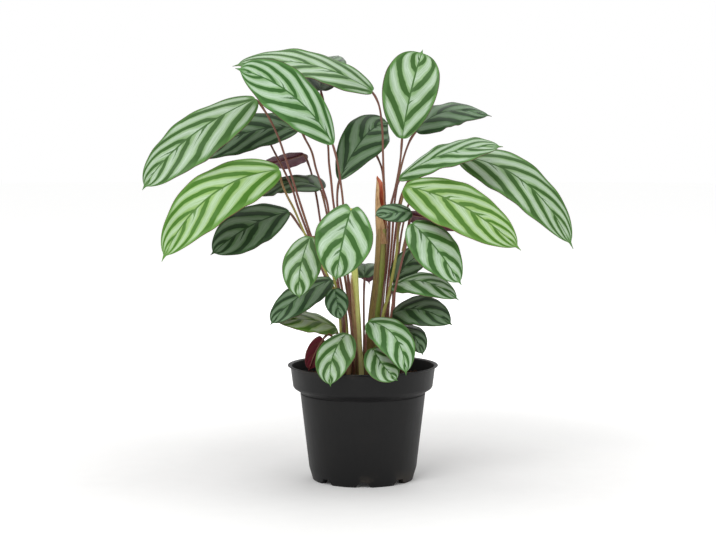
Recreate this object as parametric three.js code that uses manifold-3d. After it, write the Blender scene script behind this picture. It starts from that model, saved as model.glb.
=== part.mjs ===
// Potted calathea: a black nursery pot of soil, and a clump of patterned leaves on thin stalks.
// Millimetres, +Z up. The origin is on the pot's axis, level with the underside of its feet.
// The plant's front is towards -Y.

import * as THREE from 'three';
import { mergeVertices } from 'three/addons/utils/BufferGeometryUtils.js';
import Module from 'manifold-3d';

const wasm = await Module();
wasm.setup();

// Pot
const POT_HEIGHT = 130;
const LIP_RADIUS = 85;
const LIP_DEPTH = 2.6;
const COLLAR_TOP_RADIUS = 81.8;
const COLLAR_FOOT_RADIUS = 79;
const COLLAR_FOOT_HEIGHT = 106;
const BODY_TOP_RADIUS = 70.8;
const BODY_TOP_HEIGHT = 99.5;
const BODY_FOOT_RADIUS = 61;
const BODY_FOOT_HEIGHT = 14;
const FOOT_RADIUS = 57;
const FOOT_WIDTH = 7;
const FOOT_HEIGHT = 6.5;
const FOOT_CHAMFER = 1;
const FOOT_CHAMFER_HEIGHT = 4;
const GROOVE_DEPTH = 0.7;
const GROOVE_HEIGHT = 2;
const WALL = 1.6;
const BASE_THICKNESS = 2;
const GATE_RADIUS = 7;
const NOTCH_COUNT = 8;
const NOTCH_FOOT_WIDTH = 18;
const NOTCH_TOP_WIDTH = 9;
const DRAIN_RADIUS = 4.5;
const DRAIN_CIRCLE_RADIUS = 40;
const POT_SEGMENTS = 48;

// Soil
const SOIL_EDGE_HEIGHT = 114;
const SOIL_CROWN_HEIGHT = 121;
const SOIL_SHOULDER = 0.6;
const SOIL_CROWN = 0.25;
const FIT_GAP = 0.3;
const POCKET_GAP = 0.6;

// Leaves and stalks
const BLADE_THICKNESS = 1.2;
const BLADE_LENGTH_STEPS = 9;
const BLADE_WIDTH_STEPS = 4;
const BLADE_END = 0.96;
const BLADE_ROOT_HALF_WIDTH = 1.3;
const BLADE_TIP_HALF_WIDTH = 0.6;
const LOBE_REACH = 0.25;
const USUAL_LOBE = 2;
const USUAL_TAPER = 0.62;
const USUAL_ROOT = 0.5;
const DRIP_TIP_START = 0.88;
const DRIP_TIP_SLOPE = 0.7;
const STALK_SIDES = 6;
const STALK_STEP = 26;
const STALK_RADIUS = 1.6;
const STALK_TOP_RADIUS = 1.15;
const STALK_END_GAP = 3.4;
const SHORT_STALK_RADIUS = 1.4;
const SHORT_STALK_OVERLAP = 1.5;

const POT_PLASTIC = { color: 0x1d1d1f, roughness: 0.55, metalness: 0 };
const SOIL_EARTH = { color: 0x33231a, roughness: 0.95, metalness: 0 };
const MATURE_LEAF = { color: 0x86a882, roughness: 0.5, metalness: 0 };
const FRESH_LEAF = { color: 0x9cc070, roughness: 0.48, metalness: 0 };
const SHADED_LEAF = { color: 0x4d6b48, roughness: 0.55, metalness: 0 };
const MAROON_STALK = { color: 0x6e3a33, roughness: 0.5, metalness: 0 };
const GREEN_STALK = { color: 0xa3ab58, roughness: 0.5, metalness: 0 };
const PALE_SHOOT = { color: 0xbcc76e, roughness: 0.5, metalness: 0 };
const PAPERY_SHOOT = { color: 0x8f7d4c, roughness: 0.7, metalness: 0 };

// Each blade: the base, middle and tip of its midrib, the way its upper face looks, its full
// width, and how far its edges rise (+) or droop (-) as a share of its half width. A root above
// the usual one makes the base more of a wedge, and a lower taper makes the tip rounder.
const BLADES = {
  far_left: {
    base: [-120, -10, 429], middle: [-193, -45, 384], tip: [-240, -60, 329],
    facing: [-0.2, -0.8, 0.55], width: 64, cup: -0.22, tone: MATURE_LEAF,
  },
  left_shaded: {
    base: [-72, 15, 397], middle: [-134, 35, 391], tip: [-195, 45, 360],
    facing: [-0.1, -0.75, 0.65], width: 54, cup: -0.15, tone: SHADED_LEAF,
  },
  crown_back: {
    base: [11, 45, 439], middle: [-66, 35, 470], tip: [-147, 20, 466],
    facing: [0, -0.65, 0.76], width: 62, cup: 0.08, tone: MATURE_LEAF,
  },
  crown_front: {
    base: [-33, -15, 379], middle: [-78, -50, 433], tip: [-137, -75, 460],
    facing: [0.2, -0.85, 0.45], width: 64, cup: -0.15, root: 0.72, tone: MATURE_LEAF,
  },
  centre_back: {
    base: [-27, 20, 338], middle: [3, 50, 388], tip: [31, 80, 402],
    facing: [-0.1, -0.9, 0.3], width: 52, cup: -0.12, root: 0.75, tone: SHADED_LEAF,
  },
  upright: {
    base: [44, 0, 385], middle: [53, -8, 435], tip: [67, 10, 484],
    facing: [0, -0.97, 0.2], width: 62, cup: 0.1, root: 0.65, taper: 0.42, tone: MATURE_LEAF,
  },
  upper_right_back: {
    base: [60, 30, 393], middle: [97, 45, 416], tip: [148, 50, 410],
    facing: [0.1, -0.5, 0.85], width: 50, cup: -0.15, tone: SHADED_LEAF,
  },
  upper_right: {
    base: [41, -15, 342], middle: [95, -45, 370], tip: [152, -60, 376],
    facing: [0, -0.55, 0.83], width: 54, cup: -0.12, tone: MATURE_LEAF,
  },
  far_right: {
    base: [107, -5, 365], middle: [180, -25, 336], tip: [231, -45, 264],
    facing: [0.25, -0.8, 0.5], width: 58, cup: -0.2, tone: MATURE_LEAF,
  },
  right_bright: {
    base: [46, -53, 333], middle: [108, -93, 312], tip: [167, -114, 267],
    facing: [0.1, -0.85, 0.5], width: 60, cup: -0.12, tone: FRESH_LEAF,
  },
  right_inner: {
    base: [45, 10, 301], middle: [78, 18, 294], tip: [109, 22, 279],
    facing: [0, 0.35, 0.94], width: 42, cup: -0.1, tone: SHADED_LEAF,
  },
  small_centre: {
    base: [52, -62, 306], middle: [33, -72, 305], tip: [13, -84, 302],
    facing: [0, -0.7, 0.71], width: 30, cup: -0.1, tone: SHADED_LEAF,
  },
  right_hanging: {
    base: [53, -78, 294], middle: [79, -95, 267], tip: [105, -100, 229],
    facing: [0.2, -0.9, 0.4], width: 50, cup: -0.15, tone: MATURE_LEAF,
  },
  right_tucked: {
    base: [35, -8, 224], middle: [56, -8, 250], tip: [81, -8, 257],
    facing: [-0.2, -0.7, 0.6], width: 36, cup: -0.1, tone: SHADED_LEAF,
  },
  low_right_upper: {
    base: [33, -24, 222], middle: [67, -55, 229], tip: [104, -75, 210],
    facing: [0.1, -0.65, 0.75], width: 40, cup: -0.15, tone: MATURE_LEAF,
  },
  low_right: {
    base: [33, -20, 190], middle: [64, -45, 197], tip: [98, -60, 181],
    facing: [0.1, -0.75, 0.65], width: 46, cup: -0.15, tone: SHADED_LEAF,
  },
  left_bright: {
    base: [-92, -40, 351], middle: [-165, -80, 323], tip: [-215, -100, 254],
    facing: [-0.15, -0.85, 0.5], width: 66, cup: -0.18, tone: FRESH_LEAF,
  },
  left_lower: {
    base: [-83, 0, 303], middle: [-127, -20, 287], tip: [-169, -30, 256],
    facing: [-0.1, -0.8, 0.55], width: 56, cup: -0.12, root: 0.7, tone: SHADED_LEAF,
  },
  left_inner: {
    base: [-48, 35, 327], middle: [-84, 63, 335], tip: [-126, 78, 317],
    facing: [0, -0.45, 0.85], width: 48, cup: -0.1, tone: SHADED_LEAF,
  },
  left_turned: {
    base: [-69, 85, 367], middle: [-95, 97, 359], tip: [-125, 102, 353],
    facing: [0, 0.35, 0.93], width: 42, cup: -0.1, tone: SHADED_LEAF,
  },
  heart: {
    base: [-13, -100, 310], middle: [-22, -120, 276], tip: [-29, -118, 235],
    facing: [0, -0.95, 0.3], width: 62, cup: -0.12, lobe: 12, tone: MATURE_LEAF,
  },
  left_hanging: {
    base: [-57, -75, 279], middle: [-67, -100, 248], tip: [-68, -105, 215],
    facing: [-0.1, -0.9, 0.35], width: 42, cup: -0.15, tone: MATURE_LEAF,
  },
  low_left: {
    base: [-35, -28, 229], middle: [-74, -50, 209], tip: [-101, -65, 182],
    facing: [-0.3, -0.7, 0.6], width: 42, cup: -0.2, tone: SHADED_LEAF,
  },
  low_left_bright: {
    base: [-30, -10, 173], middle: [-63, -35, 185], tip: [-95, -55, 183],
    facing: [-0.1, -0.6, 0.8], width: 44, cup: -0.1, tone: FRESH_LEAF,
  },
  small_front: {
    base: [-31, -60, 221], middle: [-28, -67, 206], tip: [-25, -70, 188],
    facing: [0, -0.9, 0.4], width: 26, cup: -0.1, tone: SHADED_LEAF,
  },
  rim_edge: {
    base: [-45, -40, 164], middle: [-54, -47, 148], tip: [-60, -50, 130],
    facing: [-0.5, 0.8, 0.3], width: 26, cup: -0.1, tone: FRESH_LEAF,
  },
  rim_front: {
    base: [-18, -50, 171], middle: [-33, -82, 149], tip: [-35, -96, 119],
    facing: [-0.3, -0.9, 0.35], width: 44, cup: -0.15, tone: FRESH_LEAF,
  },
  rim_right: {
    base: [6, -55, 185], middle: [35, -88, 171], tip: [46, -102, 132],
    facing: [0.3, -0.85, 0.45], width: 44, cup: -0.15, tone: MATURE_LEAF,
  },
  rim_right_under: {
    base: [11, -62, 156], middle: [22, -84, 140], tip: [37, -94, 125],
    facing: [0.1, -0.9, 0.4], width: 38, cup: -0.15, tone: MATURE_LEAF,
  },
  rim_far_right: {
    base: [40, -28, 178], middle: [56, -45, 168], tip: [66, -52, 147],
    facing: [0.3, -0.6, 0.7], width: 34, cup: -0.1, tone: SHADED_LEAF,
  },
  crown_rear: {
    base: [-48, 50, 440], middle: [-45, 100, 470], tip: [-29, 150, 484],
    facing: [0, -0.1, 0.99], width: 50, cup: -0.12, tone: SHADED_LEAF,
  },
  rear_right: {
    base: [62, 55, 325], middle: [95, 100, 325], tip: [130, 135, 290],
    facing: [0.2, 0.6, 0.77], width: 50, cup: -0.15, tone: MATURE_LEAF,
  },
  rear_left: {
    base: [-112, 60, 395], middle: [-150, 110, 400], tip: [-180, 150, 365],
    facing: [-0.3, 0.55, 0.78], width: 50, cup: -0.15, tone: MATURE_LEAF,
  },
  rear_centre: {
    base: [14, 75, 372], middle: [9, 120, 389], tip: [4, 170, 371],
    facing: [0, 0.4, 0.92], width: 44, cup: -0.15, tone: MATURE_LEAF,
  },
  rear_low: {
    base: [2, 44, 225], middle: [4, 80, 238], tip: [8, 120, 210],
    facing: [0, 0.35, 0.93], width: 42, cup: -0.12, tone: SHADED_LEAF,
  },
};

// Long stalks, each from the soil up to the base of the blade of the same name.
const STALKS = {
  far_left: {
    tone: MAROON_STALK,
    path: [
      [-26, 8, 108], [-24, 8, 141], [-26, 8, 181], [-40, 7, 226], [-58, 4, 275],
      [-71, 0, 313], [-77, -3, 332], [-87, -6, 364], [-95, -8, 388], [-107, -9, 412],
    ],
  },
  left_shaded: {
    tone: MAROON_STALK,
    path: [
      [-18, 14, 108], [-17, 14, 141], [-19, 14, 181], [-26, 14, 226], [-35, 13, 271],
      [-40, 13, 311], [-46, 13, 330], [-53, 14, 350], [-58, 14, 370], [-65, 15, 384],
    ],
  },
  crown_back: {
    tone: MAROON_STALK,
    path: [
      [20, 14, 108], [18, 14, 147], [19, 15, 203], [23, 16, 271], [25, 17, 314],
      [23.5, 19, 340], [22.5, 23, 371], [22, 30, 396], [18, 40, 424],
    ],
  },
  crown_front: {
    tone: MAROON_STALK,
    path: [
      [-8, -6, 108], [-8, -6, 147], [-12, -7, 181], [-17, -9, 226], [-20, -11, 271],
      [-22, -12, 314], [-25, -13, 337], [-28, -14, 356],
    ],
  },
  centre_back: {
    tone: MAROON_STALK,
    path: [[-4, 12, 108], [-5, 12, 147], [-13, 11, 203], [-24, 13, 271], [-29, 16, 316]],
  },
  upright: {
    tone: MAROON_STALK,
    path: [
      [16, 3, 108], [16, 3, 147], [19, 3, 203], [28, 4, 271], [31, 5, 306],
      [37, 5, 330], [42, 4, 360],
    ],
  },
  upper_right_back: {
    tone: MAROON_STALK,
    path: [
      [28, 22, 108], [26, 22, 147], [27, 23, 203], [33, 24, 271], [37, 25, 316],
      [42, 26, 345], [49, 27, 371], [55, 28, 385],
    ],
  },
  upper_right: {
    tone: MAROON_STALK,
    path: [
      [24, -10, 108], [22, -10, 147], [23, -11, 203], [29, -12, 271], [31, -13, 306],
      [37, -14, 330],
    ],
  },
  far_right: {
    tone: MAROON_STALK,
    path: [
      [30, 8, 108], [29, 8, 147], [30, 7, 203], [37, 5, 283], [44, 2, 322],
      [58, -1, 345], [86, -4, 361],
    ],
  },
  right_bright: {
    tone: GREEN_STALK,
    radius: 2.4,
    path: [
      [18, -26, 108], [18, -28, 150], [24, -32, 194], [28.5, -34, 211], [37, -39, 263],
      [38, -43, 282], [40, -47, 305], [43, -50, 320],
    ],
  },
  right_inner: {
    tone: MAROON_STALK,
    path: [[36, 16, 108], [35, 16, 147], [35, 15, 203], [38, 14, 255], [41, 12, 285]],
  },
  right_hanging: {
    tone: MAROON_STALK,
    path: [
      [26, -35, 108], [26, -35, 140], [30, -41, 180], [36, -51, 220], [43, -64, 255],
      [49, -73, 280],
    ],
  },
  left_bright: {
    tone: GREEN_STALK,
    path: [
      [-16, -16, 108], [-15, -17, 141], [-23, -17, 192], [-42, -16, 238], [-64, -22, 278],
      [-77, -30, 308], [-84, -35, 322], [-90, -39, 338],
    ],
  },
  left_lower: {
    tone: MAROON_STALK,
    path: [
      [-20, -6, 108], [-19, -6, 141], [-22, -5, 181], [-38, -5, 226], [-57, -4, 266],
      [-71, -2, 286],
    ],
  },
  left_inner: {
    tone: MAROON_STALK,
    path: [
      [-26, 20, 108], [-24, 20, 141], [-23, 20.5, 181], [-29, 21, 226], [-36, 22, 271],
      [-43, 27, 308],
    ],
  },
  left_turned: {
    tone: MAROON_STALK,
    path: [
      [-16, 38, 108], [-22, 40, 170], [-33, 44, 225], [-46, 52, 275], [-54, 68, 318],
      [-62, 83, 350],
    ],
  },
  left_hanging: {
    tone: GREEN_STALK,
    path: [
      [-26, -36, 108], [-24, -38, 145], [-26, -42, 190], [-31, -49, 226], [-40, -60, 258],
      [-50, -70, 278],
    ],
  },
  crown_rear: {
    tone: MAROON_STALK,
    path: [
      [-12, 24, 108], [-12, 24, 147], [-15, 24, 190], [-22, 23, 240], [-28, 19, 275],
      [-34, 12, 314], [-36, 11, 338], [-38, 13, 357], [-39, 18, 377], [-43, 34, 408],
      [-45, 44, 426],
    ],
  },
  rear_right: {
    tone: MAROON_STALK,
    path: [
      [34, 32, 108], [36, 34, 190], [40, 38, 240], [46, 44, 285], [54, 50, 312],
    ],
  },
  rear_left: {
    tone: MAROON_STALK,
    path: [
      [-20, 30, 108], [-20.5, 30, 156], [-38, 31, 214], [-60, 31, 269], [-75, 30, 308],
      [-81, 32, 328], [-90, 36, 348], [-99, 44, 365], [-107, 54, 380],
    ],
  },
  rear_centre: {
    tone: MAROON_STALK,
    path: [
      [16, 30, 108], [22, 36, 220], [27, 44, 280], [24.5, 54, 320], [22, 64, 350],
    ],
  },
};

// Short stalks, each one piece with the small blade of the same name.
const SHORT_STALKS = {
  small_centre: [[44, -50, 262], [48, -57, 284]],
  right_tucked: [[40, 2, 108], [38, 0, 140], [34, -4, 180], [34, -6, 205]],
  low_right_upper: [[30, -19, 108], [25, -21, 150], [27, -23, 190]],
  low_right: [[36, -8, 108], [35, -10, 140], [35, -16, 170]],
  low_left: [[-20, -30, 108], [-20, -29, 140], [-21, -28, 185], [-28, -27, 218]],
  low_left_bright: [[-32, -8, 108], [-30, -9, 140], [-28, -10, 163]],
  small_front: [[-6, -28, 108], [-7, -31, 140], [-11, -40, 170], [-17, -49, 200], [-25, -56, 218]],
  rim_edge: [[-26, -24, 108], [-26, -25, 140], [-30, -28, 160], [-38, -34, 168]],
  rim_front: [[-10, -36, 108], [-11, -40, 135], [-15, -46, 155]],
  rim_right: [[4, -40, 108], [3, -44, 150], [4, -50, 170]],
  rim_right_under: [[14, -44, 108], [12, -48, 130], [11, -56, 145]],
  rim_far_right: [[37, -23, 108], [37, -24, 140], [38.5, -26, 165]],
  rear_low: [[2, 26, 108], [1, 27, 150], [1, 35, 195]],
};

// The pale left shoot runs on up as the stalk of the heart leaf.
const LEFT_SHOOT = {
  path: [
    [-4, -18, 108], [-5, -18, 147], [-7, -24, 190], [-9, -38, 235], [-11, -62, 275],
    [-12.5, -88, 303],
  ],
  radius: 4.6,
  topRadius: 1.5,
  sides: 8,
};

// The right shoot is a wrapped pseudostem with a papery sheath that ends in a point.
const RIGHT_SHOOT = {
  path: [[10, -13, 108], [11, -15, 147], [14, -19, 190], [19, -22, 235], [21.5, -23, 285]],
  radius: 8.5,
  topRadius: 6.2,
  sides: 10,
};
const SHEATH = {
  path: [[21, -23, 279], [16.5, -22, 321], [20, -21, 352]],
  radius: 5.6,
  topRadius: 0.8,
  sides: 8,
};

function vector(point) {
  return new THREE.Vector3(...point);
}

function solidOf(geometry) {
  const bare = geometry.clone();
  bare.deleteAttribute('normal');
  bare.deleteAttribute('uv');
  const merged = mergeVertices(bare, 1e-4);
  return new wasm.Manifold(new wasm.Mesh({
    numProp: 3,
    vertProperties: new Float32Array(merged.attributes.position.array),
    triVerts: new Uint32Array(merged.index.array),
  }));
}

function geometryOf(solid) {
  const mesh = solid.getMesh();
  const geometry = new THREE.BufferGeometry();
  geometry.setAttribute('position', new THREE.BufferAttribute(mesh.vertProperties, 3));
  geometry.setIndex(new THREE.BufferAttribute(mesh.triVerts, 1));
  geometry.computeVertexNormals();
  return geometry;
}

const plant = new THREE.Group();

function addPiece(name, geometry, finish) {
  const mesh = new THREE.Mesh(geometry, new THREE.MeshStandardMaterial(finish));
  mesh.name = name;
  plant.add(mesh);
}

// A lathe turns about +Y, so it is stood up to turn about +Z.
function turned(profile) {
  const points = profile.map(([radius, height]) => new THREE.Vector2(radius, height));
  return new THREE.LatheGeometry(points, POT_SEGMENTS).rotateX(Math.PI / 2);
}

function potGeometry() {
  const floorHeight = FOOT_HEIGHT + BASE_THICKNESS;
  const shell = solidOf(turned([
    [0, 0],
    [GATE_RADIUS, 0],
    [GATE_RADIUS, FOOT_HEIGHT],
    [FOOT_RADIUS - FOOT_WIDTH, FOOT_HEIGHT],
    [FOOT_RADIUS - FOOT_WIDTH, 0],
    [FOOT_RADIUS, 0],
    [FOOT_RADIUS + FOOT_CHAMFER, FOOT_CHAMFER_HEIGHT],
    [BODY_FOOT_RADIUS, BODY_FOOT_HEIGHT],
    [BODY_TOP_RADIUS, BODY_TOP_HEIGHT - GROOVE_HEIGHT],
    [BODY_TOP_RADIUS - GROOVE_DEPTH, BODY_TOP_HEIGHT - GROOVE_HEIGHT / 2],
    [BODY_TOP_RADIUS, BODY_TOP_HEIGHT],
    [COLLAR_FOOT_RADIUS, COLLAR_FOOT_HEIGHT],
    [COLLAR_TOP_RADIUS, POT_HEIGHT - LIP_DEPTH],
    [LIP_RADIUS, POT_HEIGHT - 1],
    [LIP_RADIUS, POT_HEIGHT],
    [COLLAR_TOP_RADIUS - WALL, POT_HEIGHT - LIP_DEPTH],
    [COLLAR_FOOT_RADIUS - WALL, COLLAR_FOOT_HEIGHT + 1],
    [BODY_TOP_RADIUS - WALL, BODY_TOP_HEIGHT],
    [BODY_FOOT_RADIUS - WALL, BODY_FOOT_HEIGHT],
    [BODY_FOOT_RADIUS - WALL - 2, floorHeight],
    [0, floorHeight],
  ]));
  const cutters = [];
  for (let index = 0; index < NOTCH_COUNT; index += 1) {
    const angle = (index / NOTCH_COUNT) * Math.PI * 2;
    cutters.push(notchCutter(angle));
    cutters.push(drainCutter(angle));
  }
  return geometryOf(cutters.reduce((pot, cutter) => pot.subtract(cutter), shell));
}

// A notch is a trapezium, wide at the ground, cut through the foot ring.
function notchCutter(angle) {
  const outline = new THREE.Shape();
  outline.moveTo(-NOTCH_FOOT_WIDTH / 2, -1);
  outline.lineTo(NOTCH_FOOT_WIDTH / 2, -1);
  outline.lineTo(NOTCH_TOP_WIDTH / 2, FOOT_HEIGHT - 0.5);
  outline.lineTo(-NOTCH_TOP_WIDTH / 2, FOOT_HEIGHT - 0.5);
  const cutter = new THREE.ExtrudeGeometry(outline, {
    depth: FOOT_WIDTH * 2,
    bevelEnabled: false,
  });
  cutter.rotateX(Math.PI / 2);
  cutter.translate(0, FOOT_RADIUS + FOOT_WIDTH / 2, 0);
  cutter.rotateZ(angle);
  return solidOf(cutter);
}

function drainCutter(angle) {
  const cutter = new THREE.CylinderGeometry(DRAIN_RADIUS, DRAIN_RADIUS, FOOT_HEIGHT * 2, 10);
  cutter.rotateX(Math.PI / 2);
  cutter.translate(0, DRAIN_CIRCLE_RADIUS, FOOT_HEIGHT + BASE_THICKNESS);
  cutter.rotateZ(angle);
  return solidOf(cutter);
}

function soilSolid() {
  const innerCollar = COLLAR_TOP_RADIUS - WALL;
  const innerCollarFoot = COLLAR_FOOT_RADIUS - WALL;
  const rise = (SOIL_EDGE_HEIGHT - COLLAR_FOOT_HEIGHT - 1)
    / (POT_HEIGHT - LIP_DEPTH - COLLAR_FOOT_HEIGHT - 1);
  const edgeRadius = innerCollarFoot + (innerCollar - innerCollarFoot) * rise - FIT_GAP;
  const floorHeight = FOOT_HEIGHT + BASE_THICKNESS + FIT_GAP;
  return solidOf(turned([
    [0, floorHeight],
    [BODY_FOOT_RADIUS - WALL - 2 - FIT_GAP, floorHeight],
    [BODY_FOOT_RADIUS - WALL - FIT_GAP, BODY_FOOT_HEIGHT],
    [BODY_TOP_RADIUS - WALL - FIT_GAP, BODY_TOP_HEIGHT],
    [innerCollarFoot - FIT_GAP, COLLAR_FOOT_HEIGHT + 1],
    [edgeRadius, SOIL_EDGE_HEIGHT],
    [edgeRadius * SOIL_SHOULDER, SOIL_CROWN_HEIGHT - 2],
    [edgeRadius * SOIL_CROWN, SOIL_CROWN_HEIGHT],
    [0, SOIL_CROWN_HEIGHT - 0.5],
  ]));
}

// A round rod along a path of points, narrowing from its foot to its top.
function rodGeometry(points, footRadius, topRadius, sides = STALK_SIDES) {
  const curve = new THREE.CatmullRomCurve3(points.map(vector), false, 'centripetal');
  const steps = Math.max(3, Math.round(curve.getLength() / STALK_STEP));
  const section = new THREE.Shape();
  for (let side = 0; side < sides; side += 1) {
    const angle = (side / sides) * Math.PI * 2;
    const x = footRadius * Math.cos(angle);
    const y = footRadius * Math.sin(angle);
    if (side === 0) {
      section.moveTo(x, y);
    } else {
      section.lineTo(x, y);
    }
  }
  const rod = new THREE.ExtrudeGeometry(section, {
    steps,
    extrudePath: curve,
    bevelEnabled: false,
  });
  const stations = curve.getSpacedPoints(steps);
  const position = rod.attributes.position;
  const point = new THREE.Vector3();
  for (let index = 0; index < position.count; index += 1) {
    point.fromBufferAttribute(position, index);
    let nearest = 0;
    stations.forEach((station, order) => {
      if (station.distanceTo(point) < stations[nearest].distanceTo(point)) {
        nearest = order;
      }
    });
    const radius = footRadius + (topRadius - footRadius) * (nearest / steps);
    point.sub(stations[nearest]).multiplyScalar(radius / footRadius).add(stations[nearest]);
    position.setXYZ(index, point.x, point.y, point.z);
  }
  return rod;
}

// Half width along the midrib: rounded at the base, widest before the middle, and run out in a
// narrow drip tip.
function bladeHalfWidth(blade, along) {
  const root = blade.root ?? USUAL_ROOT;
  const taper = blade.taper ?? USUAL_TAPER;
  const widest = root / (root + taper);
  const peak = widest ** root * (1 - widest) ** taper;
  const body = Math.min(along / BLADE_END, 1);
  const share = (body ** root * (1 - body) ** taper) / peak;
  const least = BLADE_ROOT_HALF_WIDTH + (BLADE_TIP_HALF_WIDTH - BLADE_ROOT_HALF_WIDTH) * along;
  const dripTip = along > DRIP_TIP_START ? DRIP_TIP_SLOPE * blade.width * (1 - along) : 0;
  return Math.max(least, (blade.width / 2) * share, dripTip);
}

// A blade is a thin slab bent onto its midrib, so its grid runs along, across and through.
function bladeGeometry(blade) {
  const base = vector(blade.base);
  const tip = vector(blade.tip);
  const control = vector(blade.middle).multiplyScalar(2).sub(base.clone().add(tip).multiplyScalar(0.5));
  const midrib = new THREE.QuadraticBezierCurve3(base, control, tip);
  const slab = new THREE.BoxGeometry(1, 1, 1, BLADE_LENGTH_STEPS, BLADE_WIDTH_STEPS, 1);
  const position = slab.attributes.position;
  for (let index = 0; index < position.count; index += 1) {
    const along = (1 - Math.cos(Math.PI * (position.getX(index) + 0.5))) / 2;
    const across = position.getY(index) * 2;
    const through = position.getZ(index);
    const tangent = midrib.getTangent(along);
    const normal = vector(blade.facing);
    normal.addScaledVector(tangent, -normal.dot(tangent)).normalize();
    const side = new THREE.Vector3().crossVectors(normal, tangent);
    const half = bladeHalfWidth(blade, along);
    const lobe = (blade.lobe ?? USUAL_LOBE) * Math.abs(across) * Math.max(0, 1 - along / LOBE_REACH) ** 2;
    const point = midrib.getPoint(along);
    point.addScaledVector(side, across * half);
    point.addScaledVector(normal, blade.cup * half * across * across + through * BLADE_THICKNESS);
    point.addScaledVector(tangent, -lobe * Math.min(1, half / 6));
    position.setXYZ(index, point.x, point.y, point.z);
  }
  return slab;
}

// The stalk stops short of the blade by the gap, or runs into it where the gap is negative.
function stalkPath(name, points, gap) {
  const base = vector(BLADES[name].base);
  const last = vector(points[points.length - 1]);
  const end = base.clone().add(last.sub(base).normalize().multiplyScalar(gap));
  return [...points, end.toArray()];
}

const soilCutters = [];

// A pocket follows the rod through the soil, a little wider and a little deeper.
function addSoilPocket(points, radius, sides = STALK_SIDES) {
  const wide = radius + POCKET_GAP;
  const [x, y, z] = points[0];
  const path = [[x, y, z - POCKET_GAP], ...points];
  soilCutters.push(solidOf(rodGeometry(path, wide, wide, sides)));
}

for (const [name, blade] of Object.entries(BLADES)) {
  const short = SHORT_STALKS[name];
  if (short) {
    const path = stalkPath(name, short, -SHORT_STALK_OVERLAP);
    const stalk = solidOf(rodGeometry(path, SHORT_STALK_RADIUS, STALK_TOP_RADIUS));
    addPiece(`leaf_${name}`, geometryOf(solidOf(bladeGeometry(blade)).add(stalk)), blade.tone);
    addSoilPocket(path, SHORT_STALK_RADIUS);
  } else {
    addPiece(`leaf_${name}`, bladeGeometry(blade), blade.tone);
  }
}

for (const [name, stalk] of Object.entries(STALKS)) {
  const path = stalkPath(name, stalk.path, STALK_END_GAP);
  const radius = stalk.radius ?? STALK_RADIUS;
  addPiece(`stalk_${name}`, rodGeometry(path, radius, STALK_TOP_RADIUS), stalk.tone);
  addSoilPocket(path, radius);
}

function shootGeometry(shoot, path = shoot.path) {
  return rodGeometry(path, shoot.radius, shoot.topRadius, shoot.sides);
}

const leftPath = stalkPath('heart', LEFT_SHOOT.path, STALK_END_GAP);
addPiece('shoot_left', shootGeometry(LEFT_SHOOT, leftPath), PALE_SHOOT);
addSoilPocket(leftPath, LEFT_SHOOT.radius, LEFT_SHOOT.sides);

const rightShoot = solidOf(shootGeometry(RIGHT_SHOOT)).add(solidOf(shootGeometry(SHEATH)));
addPiece('shoot_right', geometryOf(rightShoot), PAPERY_SHOOT);
addSoilPocket(RIGHT_SHOOT.path, RIGHT_SHOOT.radius, RIGHT_SHOOT.sides);

addPiece('pot', potGeometry(), POT_PLASTIC);
const soil = soilCutters.reduce((earth, cutter) => earth.subtract(cutter), soilSolid());
addPiece('soil', geometryOf(soil), SOIL_EARTH);

export default plant;
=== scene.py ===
"""A potted calathea: patterned leaves on thin stalks, growing from a black nursery pot of soil."""

import logging
import math
import random
from dataclasses import dataclass
from enum import Enum
from typing import Callable

import bpy
from mathutils import Matrix, Vector, noise


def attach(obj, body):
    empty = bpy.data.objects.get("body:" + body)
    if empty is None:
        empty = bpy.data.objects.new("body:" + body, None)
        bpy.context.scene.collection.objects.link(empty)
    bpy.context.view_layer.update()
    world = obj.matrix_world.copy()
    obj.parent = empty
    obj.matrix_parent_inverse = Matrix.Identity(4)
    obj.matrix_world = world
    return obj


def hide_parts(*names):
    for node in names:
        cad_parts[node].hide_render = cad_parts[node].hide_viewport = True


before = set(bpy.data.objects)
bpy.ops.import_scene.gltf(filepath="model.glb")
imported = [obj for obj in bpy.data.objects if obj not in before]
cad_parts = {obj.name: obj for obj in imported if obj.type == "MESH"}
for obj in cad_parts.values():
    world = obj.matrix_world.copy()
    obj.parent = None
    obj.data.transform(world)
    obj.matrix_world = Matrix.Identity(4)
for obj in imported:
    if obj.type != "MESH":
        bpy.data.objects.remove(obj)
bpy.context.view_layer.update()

log = logging.getLogger("calathea")

MM = 0.001
WELD_GAP = 0.01 * MM

Point = tuple[float, float, float]
Path = tuple[Point, ...]
Colour = tuple[float, float, float, float]
Socket = bpy.types.NodeSocket
Value = float | Socket
Place = Callable[[float, float], tuple[Vector, tuple[float, float]]]


class Tone(Enum):
    """The age and light of a leaf, which set its colours."""

    MATURE = "leaf_mature"
    FRESH = "leaf_fresh"
    # Darker, duller colours: partly the look of older leaves, partly painted shade for leaves deep in the
    # plant.
    SHADED = "leaf_shaded"


class StalkTone(Enum):
    """The colouring of a stalk or shoot."""

    MAROON = "stalk_maroon"
    GREEN = "stalk_green"
    PALE = "shoot_pale"
    PAPERY = "shoot_papery"


@dataclass(frozen=True)
class Blade:
    """One leaf blade, in mm.

    Its midrib runs from base through middle to tip, and facing is the way its upper face looks.
    Root and taper set the outline towards the stalk and the tip, and lobe how heart-shaped it is.
    Tone sets its colours, unless look names another tone that colours it instead.
    """

    base: Point
    middle: Point
    tip: Point
    facing: Point
    width: float
    cup: float
    tone: Tone
    lobe: float = 2.0
    root: float = 0.5
    taper: float = 0.62
    look: Tone | None = None


@dataclass(frozen=True)
class Stalk:
    """One long stalk, from the soil up to the base of the blade of the same name, in mm."""

    tone: StalkTone
    path: Path
    radius: float = 1.6


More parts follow.
